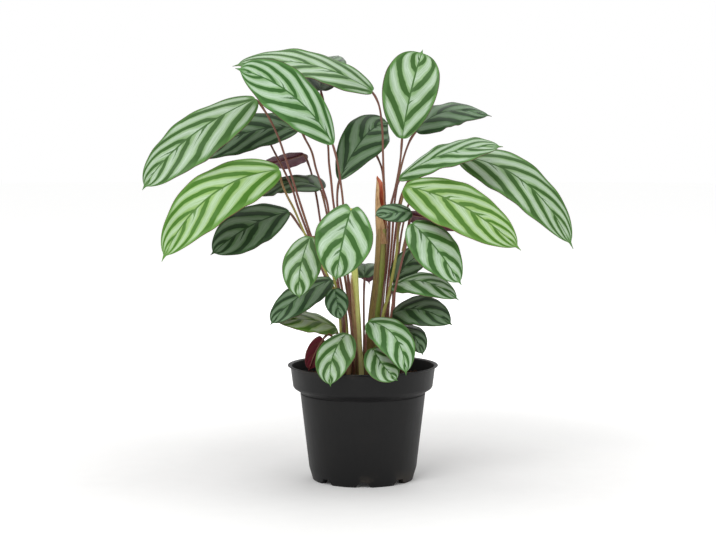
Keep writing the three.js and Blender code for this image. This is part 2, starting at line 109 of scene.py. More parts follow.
BLADES: dict[str, Blade] = {
    "far_left": Blade(
        (-120, -10, 429), (-193, -45, 384), (-240, -60, 329),
        facing=(-0.2, -0.8, 0.55), width=64, cup=-0.22, tone=Tone.MATURE,
    ),
    "left_shaded": Blade(
        (-72, 15, 397), (-134, 35, 391), (-195, 45, 360),
        facing=(-0.1, -0.75, 0.65), width=54, cup=-0.15, tone=Tone.SHADED,
    ),
    "crown_back": Blade(
        (11, 45, 439), (-66, 35, 470), (-147, 20, 466),
        facing=(0, -0.56, 0.83), width=60, cup=-0.02, tone=Tone.MATURE,
    ),
    "crown_front": Blade(
        (-33, -15, 379), (-78, -50, 433), (-137, -75, 460),
        facing=(0.2, -0.85, 0.45), width=64, cup=-0.15, tone=Tone.MATURE, root=0.72,
    ),
    "centre_back": Blade(
        (-27, 20, 338), (3, 50, 388), (31, 80, 402),
        facing=(-0.1, -0.9, 0.3), width=52, cup=-0.12, tone=Tone.SHADED, root=0.75,
    ),
    "upright": Blade(
        (44, 0, 385), (53, -8, 435), (67, 10, 484),
        facing=(0, -0.97, 0.2), width=62, cup=0.1, tone=Tone.MATURE, root=0.65, taper=0.42,
    ),
    "upper_right_back": Blade(
        (60, 30, 393), (97, 45, 416), (148, 50, 410),
        facing=(0.1, -0.5, 0.85), width=50, cup=-0.15, tone=Tone.SHADED,
    ),
    "upper_right": Blade(
        (41, -15, 342), (95, -45, 370), (152, -60, 376),
        facing=(0, -0.55, 0.83), width=54, cup=-0.12, tone=Tone.MATURE,
    ),
    "far_right": Blade(
        (107, -5, 365), (180, -25, 336), (231, -45, 264),
        facing=(0.25, -0.8, 0.5), width=58, cup=-0.2, tone=Tone.MATURE,
    ),
    "right_bright": Blade(
        (46, -53, 333), (108, -93, 312), (167, -114, 267),
        facing=(0.1, -0.85, 0.5), width=60, cup=-0.12, tone=Tone.FRESH,
    ),
    "right_inner": Blade(
        (45, 10, 301), (78, 18, 294), (109, 22, 279),
        facing=(0, 0.35, 0.94), width=42, cup=-0.1, tone=Tone.SHADED,
    ),
    "small_centre": Blade(
        (52, -62, 306), (33, -72, 305), (13, -84, 302),
        facing=(0, -0.7, 0.71), width=30, cup=-0.1, tone=Tone.SHADED,
    ),
    "right_hanging": Blade(
        (53, -78, 294), (79, -95, 267), (105, -100, 229),
        facing=(0.2, -0.9, 0.4), width=50, cup=-0.15, tone=Tone.MATURE,
    ),
    "right_tucked": Blade(
        (35, -8, 224), (56, -8, 250), (81, -8, 257),
        facing=(-0.2, -0.7, 0.6), width=36, cup=-0.1, tone=Tone.SHADED,
    ),
    "low_right_upper": Blade(
        (33, -24, 222), (67, -55, 229), (104, -75, 210),
        facing=(0.1, -0.65, 0.75), width=40, cup=-0.15, tone=Tone.MATURE,
    ),
    "low_right": Blade(
        (33, -20, 190), (64, -45, 197), (98, -60, 181),
        facing=(0.1, -0.75, 0.65), width=46, cup=-0.15, tone=Tone.SHADED,
    ),
    "left_bright": Blade(
        (-92, -40, 351), (-165, -80, 323), (-215, -100, 254),
        facing=(-0.15, -0.85, 0.5), width=66, cup=-0.18, tone=Tone.FRESH,
    ),
    "left_lower": Blade(
        (-83, 0, 303), (-127, -20, 287), (-169, -30, 256),
        facing=(-0.1, -0.8, 0.55), width=56, cup=-0.12, tone=Tone.SHADED, root=0.7,
    ),
    "left_inner": Blade(
        (-48, 35, 327), (-84, 63, 335), (-126, 78, 317),
        facing=(0, -0.45, 0.85), width=48, cup=-0.1, tone=Tone.SHADED,
    ),
    "left_turned": Blade(
        (-69, 85, 367), (-95, 97, 359), (-125, 102, 353),
        facing=(0, 0.35, 0.93), width=42, cup=-0.1, tone=Tone.SHADED,
    ),
    "heart": Blade(
        (-13, -100, 310), (-22, -120, 276), (-29, -118, 235),
        facing=(0, -0.95, 0.3), width=62, cup=-0.12, tone=Tone.MATURE, lobe=8,
    ),
    "left_hanging": Blade(
        (-57, -75, 279), (-67, -100, 248), (-68, -105, 215),
        facing=(-0.1, -0.9, 0.35), width=42, cup=-0.15, tone=Tone.MATURE,
    ),
    "low_left": Blade(
        (-35, -28, 229), (-74, -50, 209), (-101, -65, 182),
        facing=(-0.3, -0.7, 0.6), width=42, cup=-0.2, tone=Tone.SHADED,
    ),
    "low_left_bright": Blade(
        (-30, -10, 173), (-63, -35, 185), (-95, -55, 183),
        facing=(-0.1, -0.6, 0.8), width=44, cup=-0.1, tone=Tone.FRESH,
    ),
    "small_front": Blade(
        (-31, -60, 221), (-28, -67, 206), (-25, -70, 188),
        facing=(0, -0.9, 0.4), width=26, cup=-0.1, tone=Tone.SHADED,
    ),
    "rim_edge": Blade(
        (-45, -40, 164), (-54, -47, 148), (-60, -50, 130),
        facing=(-0.5, 0.8, 0.3), width=26, cup=-0.1, tone=Tone.FRESH,
    ),
    "rim_front": Blade(
        (-18, -50, 171), (-33, -82, 149), (-35, -96, 119),
        facing=(-0.3, -0.9, 0.35), width=44, cup=-0.15, tone=Tone.FRESH, look=Tone.MATURE,
    ),
    "rim_right": Blade(
        (6, -55, 185), (35, -88, 171), (46, -102, 132),
        facing=(0.3, -0.85, 0.45), width=44, cup=-0.15, tone=Tone.MATURE,
    ),
    "rim_right_under": Blade(
        (11, -62, 156), (22, -84, 140), (37, -94, 125),
        facing=(0.1, -0.9, 0.4), width=38, cup=-0.15, tone=Tone.MATURE,
    ),
    "rim_far_right": Blade(
        (40, -28, 178), (56, -45, 168), (66, -52, 147),
        facing=(0.3, -0.6, 0.7), width=34, cup=-0.1, tone=Tone.SHADED,
    ),
    "crown_rear": Blade(
        (-48, 50, 440), (-45, 100, 470), (-29, 150, 484),
        facing=(0, -0.1, 0.99), width=50, cup=-0.12, tone=Tone.SHADED,
    ),
    "rear_right": Blade(
        (62, 55, 325), (95, 100, 325), (130, 135, 290),
        facing=(0.2, 0.6, 0.77), width=50, cup=-0.15, tone=Tone.MATURE,
    ),
    "rear_left": Blade(
        (-112, 60, 395), (-150, 110, 400), (-180, 150, 365),
        facing=(-0.3, 0.55, 0.78), width=50, cup=-0.15, tone=Tone.MATURE,
    ),
    "rear_centre": Blade(
        (14, 75, 372), (9, 120, 389), (4, 170, 371),
        facing=(0, 0.4, 0.92), width=44, cup=-0.15, tone=Tone.MATURE,
    ),
    "rear_low": Blade(
        (2, 44, 225), (4, 80, 238), (8, 120, 210),
        facing=(0, 0.35, 0.93), width=42, cup=-0.12, tone=Tone.SHADED,
    ),
}

STALKS: dict[str, Stalk] = {
    "far_left": Stalk(StalkTone.MAROON, (
        (-26, 8, 108), (-24, 8, 141), (-26, 8, 181), (-40, 7, 226), (-58, 4, 275), (-71, 0, 313),
        (-77, -3, 332), (-87, -6, 364), (-95, -8, 388), (-107, -9, 412),
    )),
    "left_shaded": Stalk(StalkTone.MAROON, (
        (-18, 14, 108), (-17, 14, 141), (-19, 14, 181), (-26, 14, 226), (-35, 13, 271),
        (-40, 13, 311), (-46, 13, 330), (-53, 14, 350), (-58, 14, 370), (-65, 15, 384),
    )),
    "crown_back": Stalk(StalkTone.MAROON, (
        (20, 14, 108), (18, 14, 147), (19, 15, 203), (23, 16, 271), (25, 17, 314), (23.5, 19, 340),
        (22.5, 23, 371), (22, 30, 396), (18, 40, 424),
    )),
    "crown_front": Stalk(StalkTone.MAROON, (
        (-8, -6, 108), (-8, -6, 147), (-12, -7, 181), (-17, -9, 226), (-20, -11, 271),
        (-22, -12, 314), (-25, -13, 337), (-28, -14, 356),
    )),
    "centre_back": Stalk(StalkTone.MAROON, (
        (-4, 12, 108), (-5, 12, 147), (-13, 11, 203), (-24, 13, 271), (-29, 16, 316),
    )),
    "upright": Stalk(StalkTone.MAROON, (
        (16, 3, 108), (16, 3, 147), (19, 3, 203), (28, 4, 271), (31, 5, 306), (37, 5, 330),
        (42, 4, 360),
    )),
    "upper_right_back": Stalk(StalkTone.MAROON, (
        (28, 22, 108), (26, 22, 147), (27, 23, 203), (33, 24, 271), (37, 25, 316), (42, 26, 345),
        (49, 27, 371), (55, 28, 385),
    )),
    "upper_right": Stalk(StalkTone.MAROON, (
        (24, -10, 108), (22, -10, 147), (23, -11, 203), (29, -12, 271), (31, -13, 306),
        (37, -14, 330),
    )),
    "far_right": Stalk(StalkTone.MAROON, (
        (30, 8, 108), (29, 8, 147), (30, 7, 203), (37, 5, 283), (44, 2, 322), (58, -1, 345),
        (86, -4, 361),
    )),
    "right_bright": Stalk(StalkTone.GREEN, (
        (18, -26, 108), (18, -28, 150), (24, -32, 194), (28.5, -34, 211), (37, -39, 263),
        (38, -43, 282), (40, -47, 305), (43, -50, 320),
    ), radius=2.4),
    "right_inner": Stalk(StalkTone.MAROON, (
        (36, 16, 108), (35, 16, 147), (35, 15, 203), (38, 14, 255), (41, 12, 285),
    )),
    "right_hanging": Stalk(StalkTone.MAROON, (
        (26, -35, 108), (26, -35, 140), (30, -41, 180), (36, -51, 220), (43, -64, 255),
        (49, -73, 280),
    )),
    "left_bright": Stalk(StalkTone.GREEN, (
        (-16, -16, 108), (-15, -17, 141), (-23, -17, 192), (-42, -16, 238), (-64, -22, 278),
        (-77, -30, 308), (-84, -35, 322), (-90, -39, 338),
    )),
    "left_lower": Stalk(StalkTone.MAROON, (
        (-20, -6, 108), (-19, -6, 141), (-22, -5, 181), (-38, -5, 226), (-57, -4, 266),
        (-71, -2, 286),
    )),
    "left_inner": Stalk(StalkTone.MAROON, (
        (-26, 20, 108), (-24, 20, 141), (-23, 20.5, 181), (-29, 21, 226), (-36, 22, 271),
        (-43, 27, 308),
    )),
    "left_turned": Stalk(StalkTone.MAROON, (
        (-16, 38, 108), (-22, 40, 170), (-33, 44, 225), (-46, 52, 275), (-54, 68, 318),
        (-62, 83, 350),
    )),
    "left_hanging": Stalk(StalkTone.GREEN, (
        (-26, -36, 108), (-24, -38, 145), (-26, -42, 190), (-31, -49, 226), (-40, -60, 258),
        (-50, -70, 278),
    )),
    "crown_rear": Stalk(StalkTone.MAROON, (
        (-12, 24, 108), (-12, 24, 147), (-15, 24, 190), (-22, 23, 240), (-28, 19, 275),
        (-34, 12, 314), (-36, 11, 338), (-38, 13, 357), (-39, 18, 377), (-43, 34, 408),
        (-45, 44, 426),
    )),
    "rear_right": Stalk(StalkTone.MAROON, (
        (34, 32, 108), (36, 34, 190), (40, 38, 240), (46, 44, 285), (54, 50, 312),
    )),
    "rear_left": Stalk(StalkTone.MAROON, (
        (-20, 30, 108), (-20.5, 30, 156), (-38, 31, 214), (-60, 31, 269), (-75, 30, 308),
        (-81, 32, 328), (-90, 36, 348), (-99, 44, 365), (-107, 54, 380),
    )),
    "rear_centre": Stalk(StalkTone.MAROON, (
        (16, 30, 108), (22, 36, 220), (27, 44, 280), (24.5, 54, 320), (22, 64, 350),
    )),
}

SHORT_STALKS: dict[str, Path] = {
    "small_centre": ((44, -50, 262), (48, -57, 284)),
    "right_tucked": ((40, 2, 108), (38, 0, 140), (34, -4, 180), (34, -6, 205)),
    "low_right_upper": ((30, -19, 108), (25, -21, 150), (27, -23, 190)),
    "low_right": ((36, -8, 108), (35, -10, 140), (35, -16, 170)),
    "low_left": ((-20, -30, 108), (-20, -29, 140), (-21, -28, 185), (-28, -27, 218)),
    "low_left_bright": ((-32, -8, 108), (-30, -9, 140), (-28, -10, 163)),
    "small_front": ((-6, -28, 108), (-7, -31, 140), (-11, -40, 170), (-17, -49, 200), (-25, -56, 218)),
    "rim_edge": ((-26, -24, 108), (-26, -25, 140), (-30, -28, 160), (-38, -34, 168)),
    "rim_front": ((-10, -36, 108), (-11, -40, 135), (-15, -46, 155)),
    "rim_right": ((4, -40, 108), (3, -44, 150), (4, -50, 170)),
    "rim_right_under": ((14, -44, 108), (12, -48, 130), (11, -56, 145)),
    "rim_far_right": ((37, -23, 108), (37, -24, 140), (38.5, -26, 165)),
    "rear_low": ((2, 26, 108), (1, 27, 150), (1, 35, 195)),
}


def paint(red: int, green: int, blue: int) -> Colour:
    """Turn a display colour, 0 to 255 a channel, into the linear colour that shaders take."""
    shares = (red / 255, green / 255, blue / 255)
    linear = [s / 12.92 if s <= 0.04045 else ((s + 0.055) / 1.055) ** 2.4 for s in shares]
    return (*linear, 1.0)


def deselect_all() -> None:
    """Leave nothing selected."""
    bpy.ops.object.select_all(action="DESELECT")


def make_active(piece: bpy.types.Object) -> None:
    """Select one object alone and make it the active one."""
    deselect_all()
    piece.select_set(True)
    bpy.context.view_layer.objects.active = piece


def apply_modifier(piece: bpy.types.Object, kind: str, **settings: object) -> None:
    """Add a modifier with these settings and apply it to the mesh.

    Args:
        piece: The object to change.
        kind: The modifier's type.
        settings: The modifier's own values, by name.
    """
    make_active(piece)
    modifier = piece.modifiers.new(kind.lower(), kind)
    for key, value in settings.items():
        setattr(modifier, key, value)
    bpy.ops.object.modifier_apply(modifier=modifier.name)


def smooth_shade(piece: bpy.types.Object, angle: float = 180.0) -> None:
    """Shade a piece smooth, keeping creases sharper than the angle in degrees."""
    make_active(piece)
    if angle >= 180.0:
        bpy.ops.object.shade_smooth()
    else:
        bpy.ops.object.shade_smooth_by_angle(angle=math.radians(angle))


def join(name: str, pieces: list[bpy.types.Object]) -> bpy.types.Object:
    """Join meshes into one object.

    Args:
        name: The joined object's name.
        pieces: The objects, all of them meshes.

    Returns:
        The joined object.
    """
    deselect_all()
    for piece in pieces:
        piece.select_set(True)
    bpy.context.view_layer.objects.active = pieces[0]
    bpy.ops.object.join()
    pieces[0].name = name
    pieces[0].data.name = name
    return pieces[0]


def bent_grid(name: str, steps: tuple[int, int], place: Place) -> bpy.types.Object:
    """Add a flat grid and move every point of it to its place on a surface.

    Args:
        name: The object's name.
        steps: How many faces the grid has along and across.
        place: Gives a point in mm and its UV for (u, v), both from 0 to 1.

    Returns:
        The object, with its place in its mesh.
    """
    deselect_all()
    bpy.ops.mesh.primitive_grid_add(x_subdivisions=steps[0], y_subdivisions=steps[1], size=1)
    piece = bpy.context.active_object
    piece.name = name
    piece.data.name = name
    pattern = []
    for vertex in piece.data.vertices:
        point, uv = place(vertex.co.x + 0.5, vertex.co.y + 0.5)
        vertex.co = point * MM
        pattern.append(uv)
    layer = piece.data.uv_layers[0]
    layer.name = "UVMap"
    for loop in piece.data.loops:
        layer.data[loop.index].uv = pattern[loop.vertex_index]
    return piece


def close_tube(piece: bpy.types.Object) -> None:
    """Weld the seam of a grid bent into a tube, and close both of its ends."""
    make_active(piece)
    bpy.ops.object.mode_set(mode="EDIT")
    bpy.ops.mesh.select_all(action="SELECT")
    bpy.ops.mesh.remove_doubles(threshold=0.00001)
    bpy.ops.mesh.fill_holes(sides=0)
    bpy.ops.mesh.select_all(action="SELECT")
    bpy.ops.mesh.normals_make_consistent(inside=False)
    bpy.ops.object.mode_set(mode="OBJECT")


def mark(piece: bpy.types.Object, **numbers: float) -> None:
    """Store numbers on every point of a piece, which its material reads to vary the pattern."""
    for name, number in numbers.items():
        layer = piece.data.attributes.new(name, "FLOAT", "POINT")
        layer.data.foreach_set("value", [number] * len(piece.data.vertices))


def smooth_path(points: Path | list[Point], spacing: float) -> list[Vector]:
    """Run a centripetal Catmull-Rom curve through points.

    Args:
        points: The points that the curve passes through.
        spacing: About how far apart the stations are.

    Returns:
        The stations, from the first point to the last.
    """
    line = [Vector(point) for point in points]
    ends = [line[0] * 2 - line[1], *line, line[-1] * 2 - line[-2]]
    stations = []
    for four in zip(ends, ends[1:], ends[2:], ends[3:]):
        knots = [0.0]
        for start, finish in zip(four, four[1:]):
            knots.append(knots[-1] + (finish - start).length ** 0.5)
        steps = max(2, round((four[2] - four[1]).length / spacing))
        for step in range(steps):
            at = knots[1] + (knots[2] - knots[1]) * step / steps
            level = list(four)
            for reach in (1, 2, 3):
                if reach < 3:
                    level = [
                        level[i].lerp(level[i + 1], (at - knots[i]) / (knots[i + reach] - knots[i]))
                        for i in range(len(level) - 1)
                    ]
                else:
                    level = [level[0].lerp(level[1], (at - knots[1]) / (knots[2] - knots[1]))]
            stations.append(level[0])
    stations.append(line[-1])
    return stations


@dataclass
class Spine:
    """A smooth line with a turning frame, which tubes and wraps are bent round."""

    stations: list[Vector]
    out: list[Vector]
    aside: list[Vector]
    reach: list[float]

    @classmethod
    def through(cls, points: Path | list[Point], spacing: float = 3.0) -> "Spine":
        """Lay a spine through points, about one station each spacing."""
        stations = smooth_path(points, spacing)
        last = len(stations) - 1
        tangents = [
            (stations[min(i + 1, last)] - stations[max(i - 1, 0)]).normalized()
            for i in range(last + 1)
        ]
        out, aside, reach = [], [], [0.0]
        normal = Vector((0, -1, 0))
        for index, tangent in enumerate(tangents):
            normal = (normal - tangent * normal.dot(tangent)).normalized()
            out.append(normal)
            aside.append(tangent.cross(normal))
            if index:
                reach.append(reach[-1] + (stations[index] - stations[index - 1]).length)
        return cls(stations, out, aside, reach)

    @property
    def length(self) -> float:
        """The spine's whole length."""
        return self.reach[-1]

    def point(self, share: float, angle: float, radius: float) -> Vector:
        """Give the point at a share of the stations, at an angle and radius round the line.

        Args:
            share: From 0 at the foot to 1 at the top.
            angle: In radians. 0 faces the plant's front.
            radius: The distance from the line.
        """
        at = share * (len(self.stations) - 1)
        low = min(int(at), len(self.stations) - 2)
        part = at - low
        centre = self.stations[low].lerp(self.stations[low + 1], part)
        out = self.out[low].lerp(self.out[low + 1], part)
        aside = self.aside[low].lerp(self.aside[low + 1], part)
        return centre + (out * math.cos(angle) - aside * math.sin(angle)) * radius


class Graph:
    """Adds nodes to one node tree and joins them."""

    def __init__(self, tree: bpy.types.NodeTree) -> None:
        """Keep the tree that the nodes go into."""
        self.tree = tree

    def add(self, kind: str, **settings: object) -> bpy.types.Node:
        """Add one node and set its options."""
        node = self.tree.nodes.new(kind)
        for key, value in settings.items():
            setattr(node, key, value)
        return node

    def put(self, socket: Socket, value: object) -> None:
        """Join a socket to an output, or give it a plain value."""
        if isinstance(value, bpy.types.NodeSocket):
            self.tree.links.new(value, socket)
        else:
            socket.default_value = value

    def math(self, operation: str, *values: Value) -> Socket:
        """Work out one sum."""
        node = self.add("ShaderNodeMath", operation=operation)
        for socket, value in zip(node.inputs, values):
            self.put(socket, value)
        return node.outputs[0]

    def rise(self, value: Value, low: Value, high: Value) -> Socket:
        """Rise smoothly from 0 at low to 1 at high. It falls where low is above high."""
        node = self.add("ShaderNodeMapRange", interpolation_type="SMOOTHSTEP")
        for socket, given in zip(node.inputs, (value, low, high)):
            self.put(socket, given)
        return node.outputs[0]

    def span(self, value: Value, low: float, high: float) -> Socket:
        """Turn a share from 0 to 1 into a value from low to high."""
        return self.math("MULTIPLY_ADD", value, high - low, low)

    def mix(self, share: Value, under: object, over: object) -> Socket:
        """Mix two colours."""
        node = self.add("ShaderNodeMix", data_type="RGBA")
        self.put(node.inputs["Factor"], share)
        self.put(node.inputs[6], under)
        self.put(node.inputs[7], over)
        return node.outputs[2]

    def vector(self, x: Value, y: Value, z: Value = 0.0) -> Socket:
        """Put three numbers together."""
        node = self.add("ShaderNodeCombineXYZ")
        for socket, value in zip(node.inputs, (x, y, z)):
            self.put(socket, value)
        return node.outputs[0]

    def parts(self, vector: Socket) -> tuple[Socket, Socket, Socket]:
        """Take a vector apart."""
        node = self.add("ShaderNodeSeparateXYZ")
        self.put(node.inputs[0], vector)
        return tuple(node.outputs)

    def clouds(self, vector: Socket, scale: float, detail: float = 3.0, rough: float = 0.55) -> Socket:
        """Give a smooth noise from 0 to 1."""
        node = self.add("ShaderNodeTexNoise")
        self.put(node.inputs["Vector"], vector)
        node.inputs["Scale"].default_value = scale
        node.inputs["Detail"].default_value = detail
        node.inputs["Roughness"].default_value = rough
        return node.outputs[0]

    def cells(self, vector: Socket, scale: float) -> Socket:
        """Give the distance to the nearest of many scattered points."""
        node = self.add("ShaderNodeTexVoronoi")
        self.put(node.inputs["Vector"], vector)
        node.inputs["Scale"].default_value = scale
        return node.outputs["Distance"]

    def place(self) -> Socket:
        """Give the place on the piece, in metres."""
        return self.add("ShaderNodeTexCoord").outputs["Object"]

    def uv(self) -> Socket:
        """Give the piece's own UV."""
        return self.add("ShaderNodeUVMap", uv_map="UVMap").outputs[0]

    def stored(self, name: str) -> Socket:
        """Give a number stored on the piece."""
        return self.add("ShaderNodeAttribute", attribute_name=name).outputs["Fac"]


def new_group(name: str, inputs: dict[str, str], outputs: dict[str, str]) -> tuple[Graph, dict, dict]:
    """Start a shader node group.

    Args:
        name: The group's name.
        inputs: The type of each input socket, by name.
        outputs: The type of each output socket, by name.

    Returns:
        The graph, the sockets that the inputs arrive on, and those that the outputs leave by.
    """
    tree = bpy.data.node_groups.new(name, "ShaderNodeTree")
    for way, sockets in (("INPUT", inputs), ("OUTPUT", outputs)):
        for socket, kind in sockets.items():
            tree.interface.new_socket(name=socket, in_out=way, socket_type=kind)
    graph = Graph(tree)
    arrive = graph.add("NodeGroupInput")
    leave = graph.add("NodeGroupOutput")
    return graph, arrive.outputs, leave.inputs


def use_group(graph: Graph, tree: bpy.types.NodeTree, **values: object) -> bpy.types.NodeInputs:
    """Place a group in a graph.

    Args:
        graph: The graph of the material.
        tree: The group.
        values: What each input is given, by name with _ for a space.

    Returns:
        The group's outputs.
    """
    node = graph.add("ShaderNodeGroup")
    node.node_tree = tree
    for key, value in values.items():
        graph.put(node.inputs[key.replace("_", " ")], value)
    return node.outputs


def new_material(name: str, roughness: float, specular: float) -> tuple[bpy.types.Material, Graph, dict]:
    """Start a material with a Principled shader.

    Args:
        name: The material's name.
        roughness: Its roughness where nothing is joined to it.
        specular: Its specular level.

    Returns:
        The material, its graph, and the shader's inputs.
    """
    material = bpy.data.materials.new(name)
    material.use_nodes = True
    graph = Graph(material.node_tree)
    shader = material.node_tree.nodes["Principled BSDF"].inputs
    shader["Roughness"].default_value = roughness
    shader["Specular IOR Level"].default_value = specular
    return material, graph, shader


def put_bump(graph: Graph, shader: dict, height: Socket, depth: float, strength: float = 1.0) -> None:
    """Raise a surface by a height from 0 to 1, where 1 stands depth metres proud."""
    bump = graph.add("ShaderNodeBump")
    bump.inputs["Strength"].default_value = strength
    bump.inputs["Distance"].default_value = depth
    graph.put(bump.inputs["Height"], height)
    graph.put(shader["Normal"], bump.outputs[0])


def put_colour(graph: Graph, shader: dict, colour: Socket, value: Value, hue: Value = 0.5) -> None:
    """Colour a surface, varied a little.

    Args:
        graph: The material's graph.
        shader: The shader's inputs.
        colour: The colour before it is varied.
        value: How light it is made, where 1 leaves it as it is.
        hue: How its hue is turned, where 0.5 leaves it as it is.
    """
    tint = graph.add("ShaderNodeHueSaturation")
    graph.put(tint.inputs["Color"], colour)
    graph.put(tint.inputs["Value"], value)
    graph.put(tint.inputs["Hue"], hue)
    graph.put(shader["Base Color"], tint.outputs[0])


def grain_group() -> bpy.types.NodeTree:
    """Build the fine mottled grain that every finish carries."""
    graph, arrive, leave = new_group(
        "fine_grain",
        {"Place": "NodeSocketVector", "Scale": "NodeSocketFloat"},
        {"Grain": "NodeSocketFloat", "Mottle": "NodeSocketFloat"},
    )
    for output, factor, detail in (("Grain", 1.0, 4.0), ("Mottle", 0.12, 2.0)):
        node = graph.add("ShaderNodeTexNoise")
        graph.put(node.inputs["Vector"], arrive["Place"])
        graph.put(node.inputs["Scale"], graph.math("MULTIPLY", arrive["Scale"], factor))
        node.inputs["Detail"].default_value = detail
        graph.put(leave[output], node.outputs[0])
    return graph.tree


# The bands leave the midrib at a slant and sweep on towards the tip.
SWEEP_SLANT = 0.3
SWEEP_CURVE = 0.2
TIP_CROWDING = 0.35
BANDS_PER_MM = 0.0235
FEWEST_BANDS = 2.3
MOST_BANDS = 3.3
# Each half of a blade starts its bands a little later than the other, by its own amount.
LEAST_STAGGER = 0.15
SEED_STAGGER = 0.4
SEED_SHIFT = 5.0
# How far bands wander, how rough and soft their sides are, and how wide they are from the rib out.
BAND_DRIFT = 0.11
BAND_ROUGHNESS = 0.22
BAND_SOFTNESS = 0.055
BAND_AT_RIB = 0.2
BAND_AT_MIDDLE = 0.36
BAND_GAIN_AT_EDGE = 0.3
FLECK_TAPER = 0.55
MARGIN_ROUGHNESS = 0.16


def band_index(along: float, across: float, seed: float, bands: float) -> float:
    """Count the bands up to a place on a blade, as the leaf pattern does.

    Args:
        along: From 0 at the blade's base to 1 at its tip.
        across: From -1 to 1, edge to edge.
        seed: The blade's own number.
        bands: How closely the bands follow each other.

    Returns:
        The count, which is halfway between two whole numbers in the middle of each band.
    """
    reach = abs(across)
    sweep = along - SWEEP_SLANT * reach - SWEEP_CURVE * reach * reach
    stagger = (LEAST_STAGGER + SEED_STAGGER * seed) if across > 0 else 0.0
    return bands * (sweep + TIP_CROWDING * sweep * sweep) + stagger + seed * SEED_SHIFT


def bands_group() -> bpy.types.NodeTree:
    """Build the herringbone leaf pattern: dark bands, flecks between them, and green margin."""
    graph, arrive, leave = new_group(
        "calathea_bands",
        {"Place": "NodeSocketVector", "Seed": "NodeSocketFloat", "Bands": "NodeSocketFloat"},
        {
            "Band": "NodeSocketFloat", "Middle": "NodeSocketFloat", "Margin": "NodeSocketFloat",
            "Rib": "NodeSocketFloat", "Edge": "NodeSocketFloat", "Veins": "NodeSocketFloat",
        },
    )
    math_ = graph.math
    along, sideways, _ = graph.parts(arrive["Place"])
    seed = arrive["Seed"]
    across = math_("MULTIPLY_ADD", sideways, 2.0, -1.0)
    reach = math_("ABSOLUTE", across)
    right = math_("GREATER_THAN", across, 0.0)

    wander = graph.vector(math_("MULTIPLY", along, 3.0), across, math_("MULTIPLY", seed, 40.0))
    drift = math_("SUBTRACT", graph.clouds(wander, 1.4), 0.5)
    bent = math_("MULTIPLY_ADD", drift, BAND_DRIFT, along)
    slant = math_("MULTIPLY", reach, math_("MULTIPLY_ADD", reach, SWEEP_CURVE, SWEEP_SLANT))
    sweep = math_("SUBTRACT", bent, slant)
    crowd = math_("MULTIPLY_ADD", math_("MULTIPLY", sweep, sweep), TIP_CROWDING, sweep)
    stagger = math_("MULTIPLY", right, math_("MULTIPLY_ADD", seed, SEED_STAGGER, LEAST_STAGGER))
    shift = math_("MULTIPLY", seed, SEED_SHIFT)
    index = math_("ADD", math_("MULTIPLY_ADD", crowd, arrive["Bands"], stagger), shift)

    lane = graph.vector(math_("MULTIPLY", index, 9.0), math_("MULTIPLY", across, 1.6), seed)
    feather = math_("SUBTRACT", graph.clouds(lane, 1.6, 4.0), 0.5)
    phase = math_("FRACT", index)
    off_band = math_("MULTIPLY", math_("ABSOLUTE", math_("SUBTRACT", phase, 0.5)), 2.0)
    ragged = math_("MULTIPLY_ADD", feather, BAND_ROUGHNESS, off_band)
    by_rib = graph.span(graph.rise(reach, 0.0, 0.3), BAND_AT_RIB, BAND_AT_MIDDLE)
    by_edge = graph.span(graph.rise(reach, 0.7, 1.0), 0.0, BAND_GAIN_AT_EDGE)
    half_band = math_("ADD", by_rib, by_edge)
    inner = math_("SUBTRACT", half_band, BAND_SOFTNESS)
    outer = math_("ADD", half_band, BAND_SOFTNESS)
    band = math_("SUBTRACT", 1.0, graph.rise(ragged, inner, outer))

    turn = math_("FLOOR", math_("ADD", index, 0.5))
    chance = graph.add("ShaderNodeTexWhiteNoise", noise_dimensions="3D")
    graph.put(chance.inputs["Vector"], graph.vector(turn, right, math_("MULTIPLY", seed, 91.0)))
    fleck_reach = graph.span(chance.outputs["Value"], -0.22, 0.4)
    fleck_half = math_("MULTIPLY", math_("SUBTRACT", fleck_reach, reach), FLECK_TAPER)
    off_fleck = math_("SUBTRACT", 1.0, ragged)
    fleck_inner = math_("SUBTRACT", fleck_half, 0.05)
    fleck_outer = math_("ADD", fleck_half, 0.04)
    fleck = math_("SUBTRACT", 1.0, graph.rise(off_fleck, fleck_inner, fleck_outer))

    soft_edge = math_("MULTIPLY_ADD", feather, MARGIN_ROUGHNESS, reach)
    at_side = graph.rise(soft_edge, 0.8, 0.92)
    at_tip = graph.rise(math_("MULTIPLY_ADD", feather, 0.05, along), 0.9, 0.97)
    at_base = graph.rise(along, 0.05, 0.015)
    margin = math_("MAXIMUM", at_side, math_("MAXIMUM", at_tip, at_base))

    graph.put(leave["Band"], math_("MAXIMUM", band, fleck))
    graph.put(leave["Middle"], graph.rise(off_band, 0.35, 0.85))
    graph.put(leave["Margin"], margin)
    graph.put(leave["Rib"], graph.rise(reach, 0.045, 0.018))
    graph.put(leave["Edge"], graph.rise(reach, 0.975, 0.99))
    fine = graph.vector(math_("MULTIPLY", index, 22.0), math_("MULTIPLY", across, 2.5), seed)
    graph.put(leave["Veins"], graph.clouds(fine, 1.0, 3.0, 0.7))
    return graph.tree


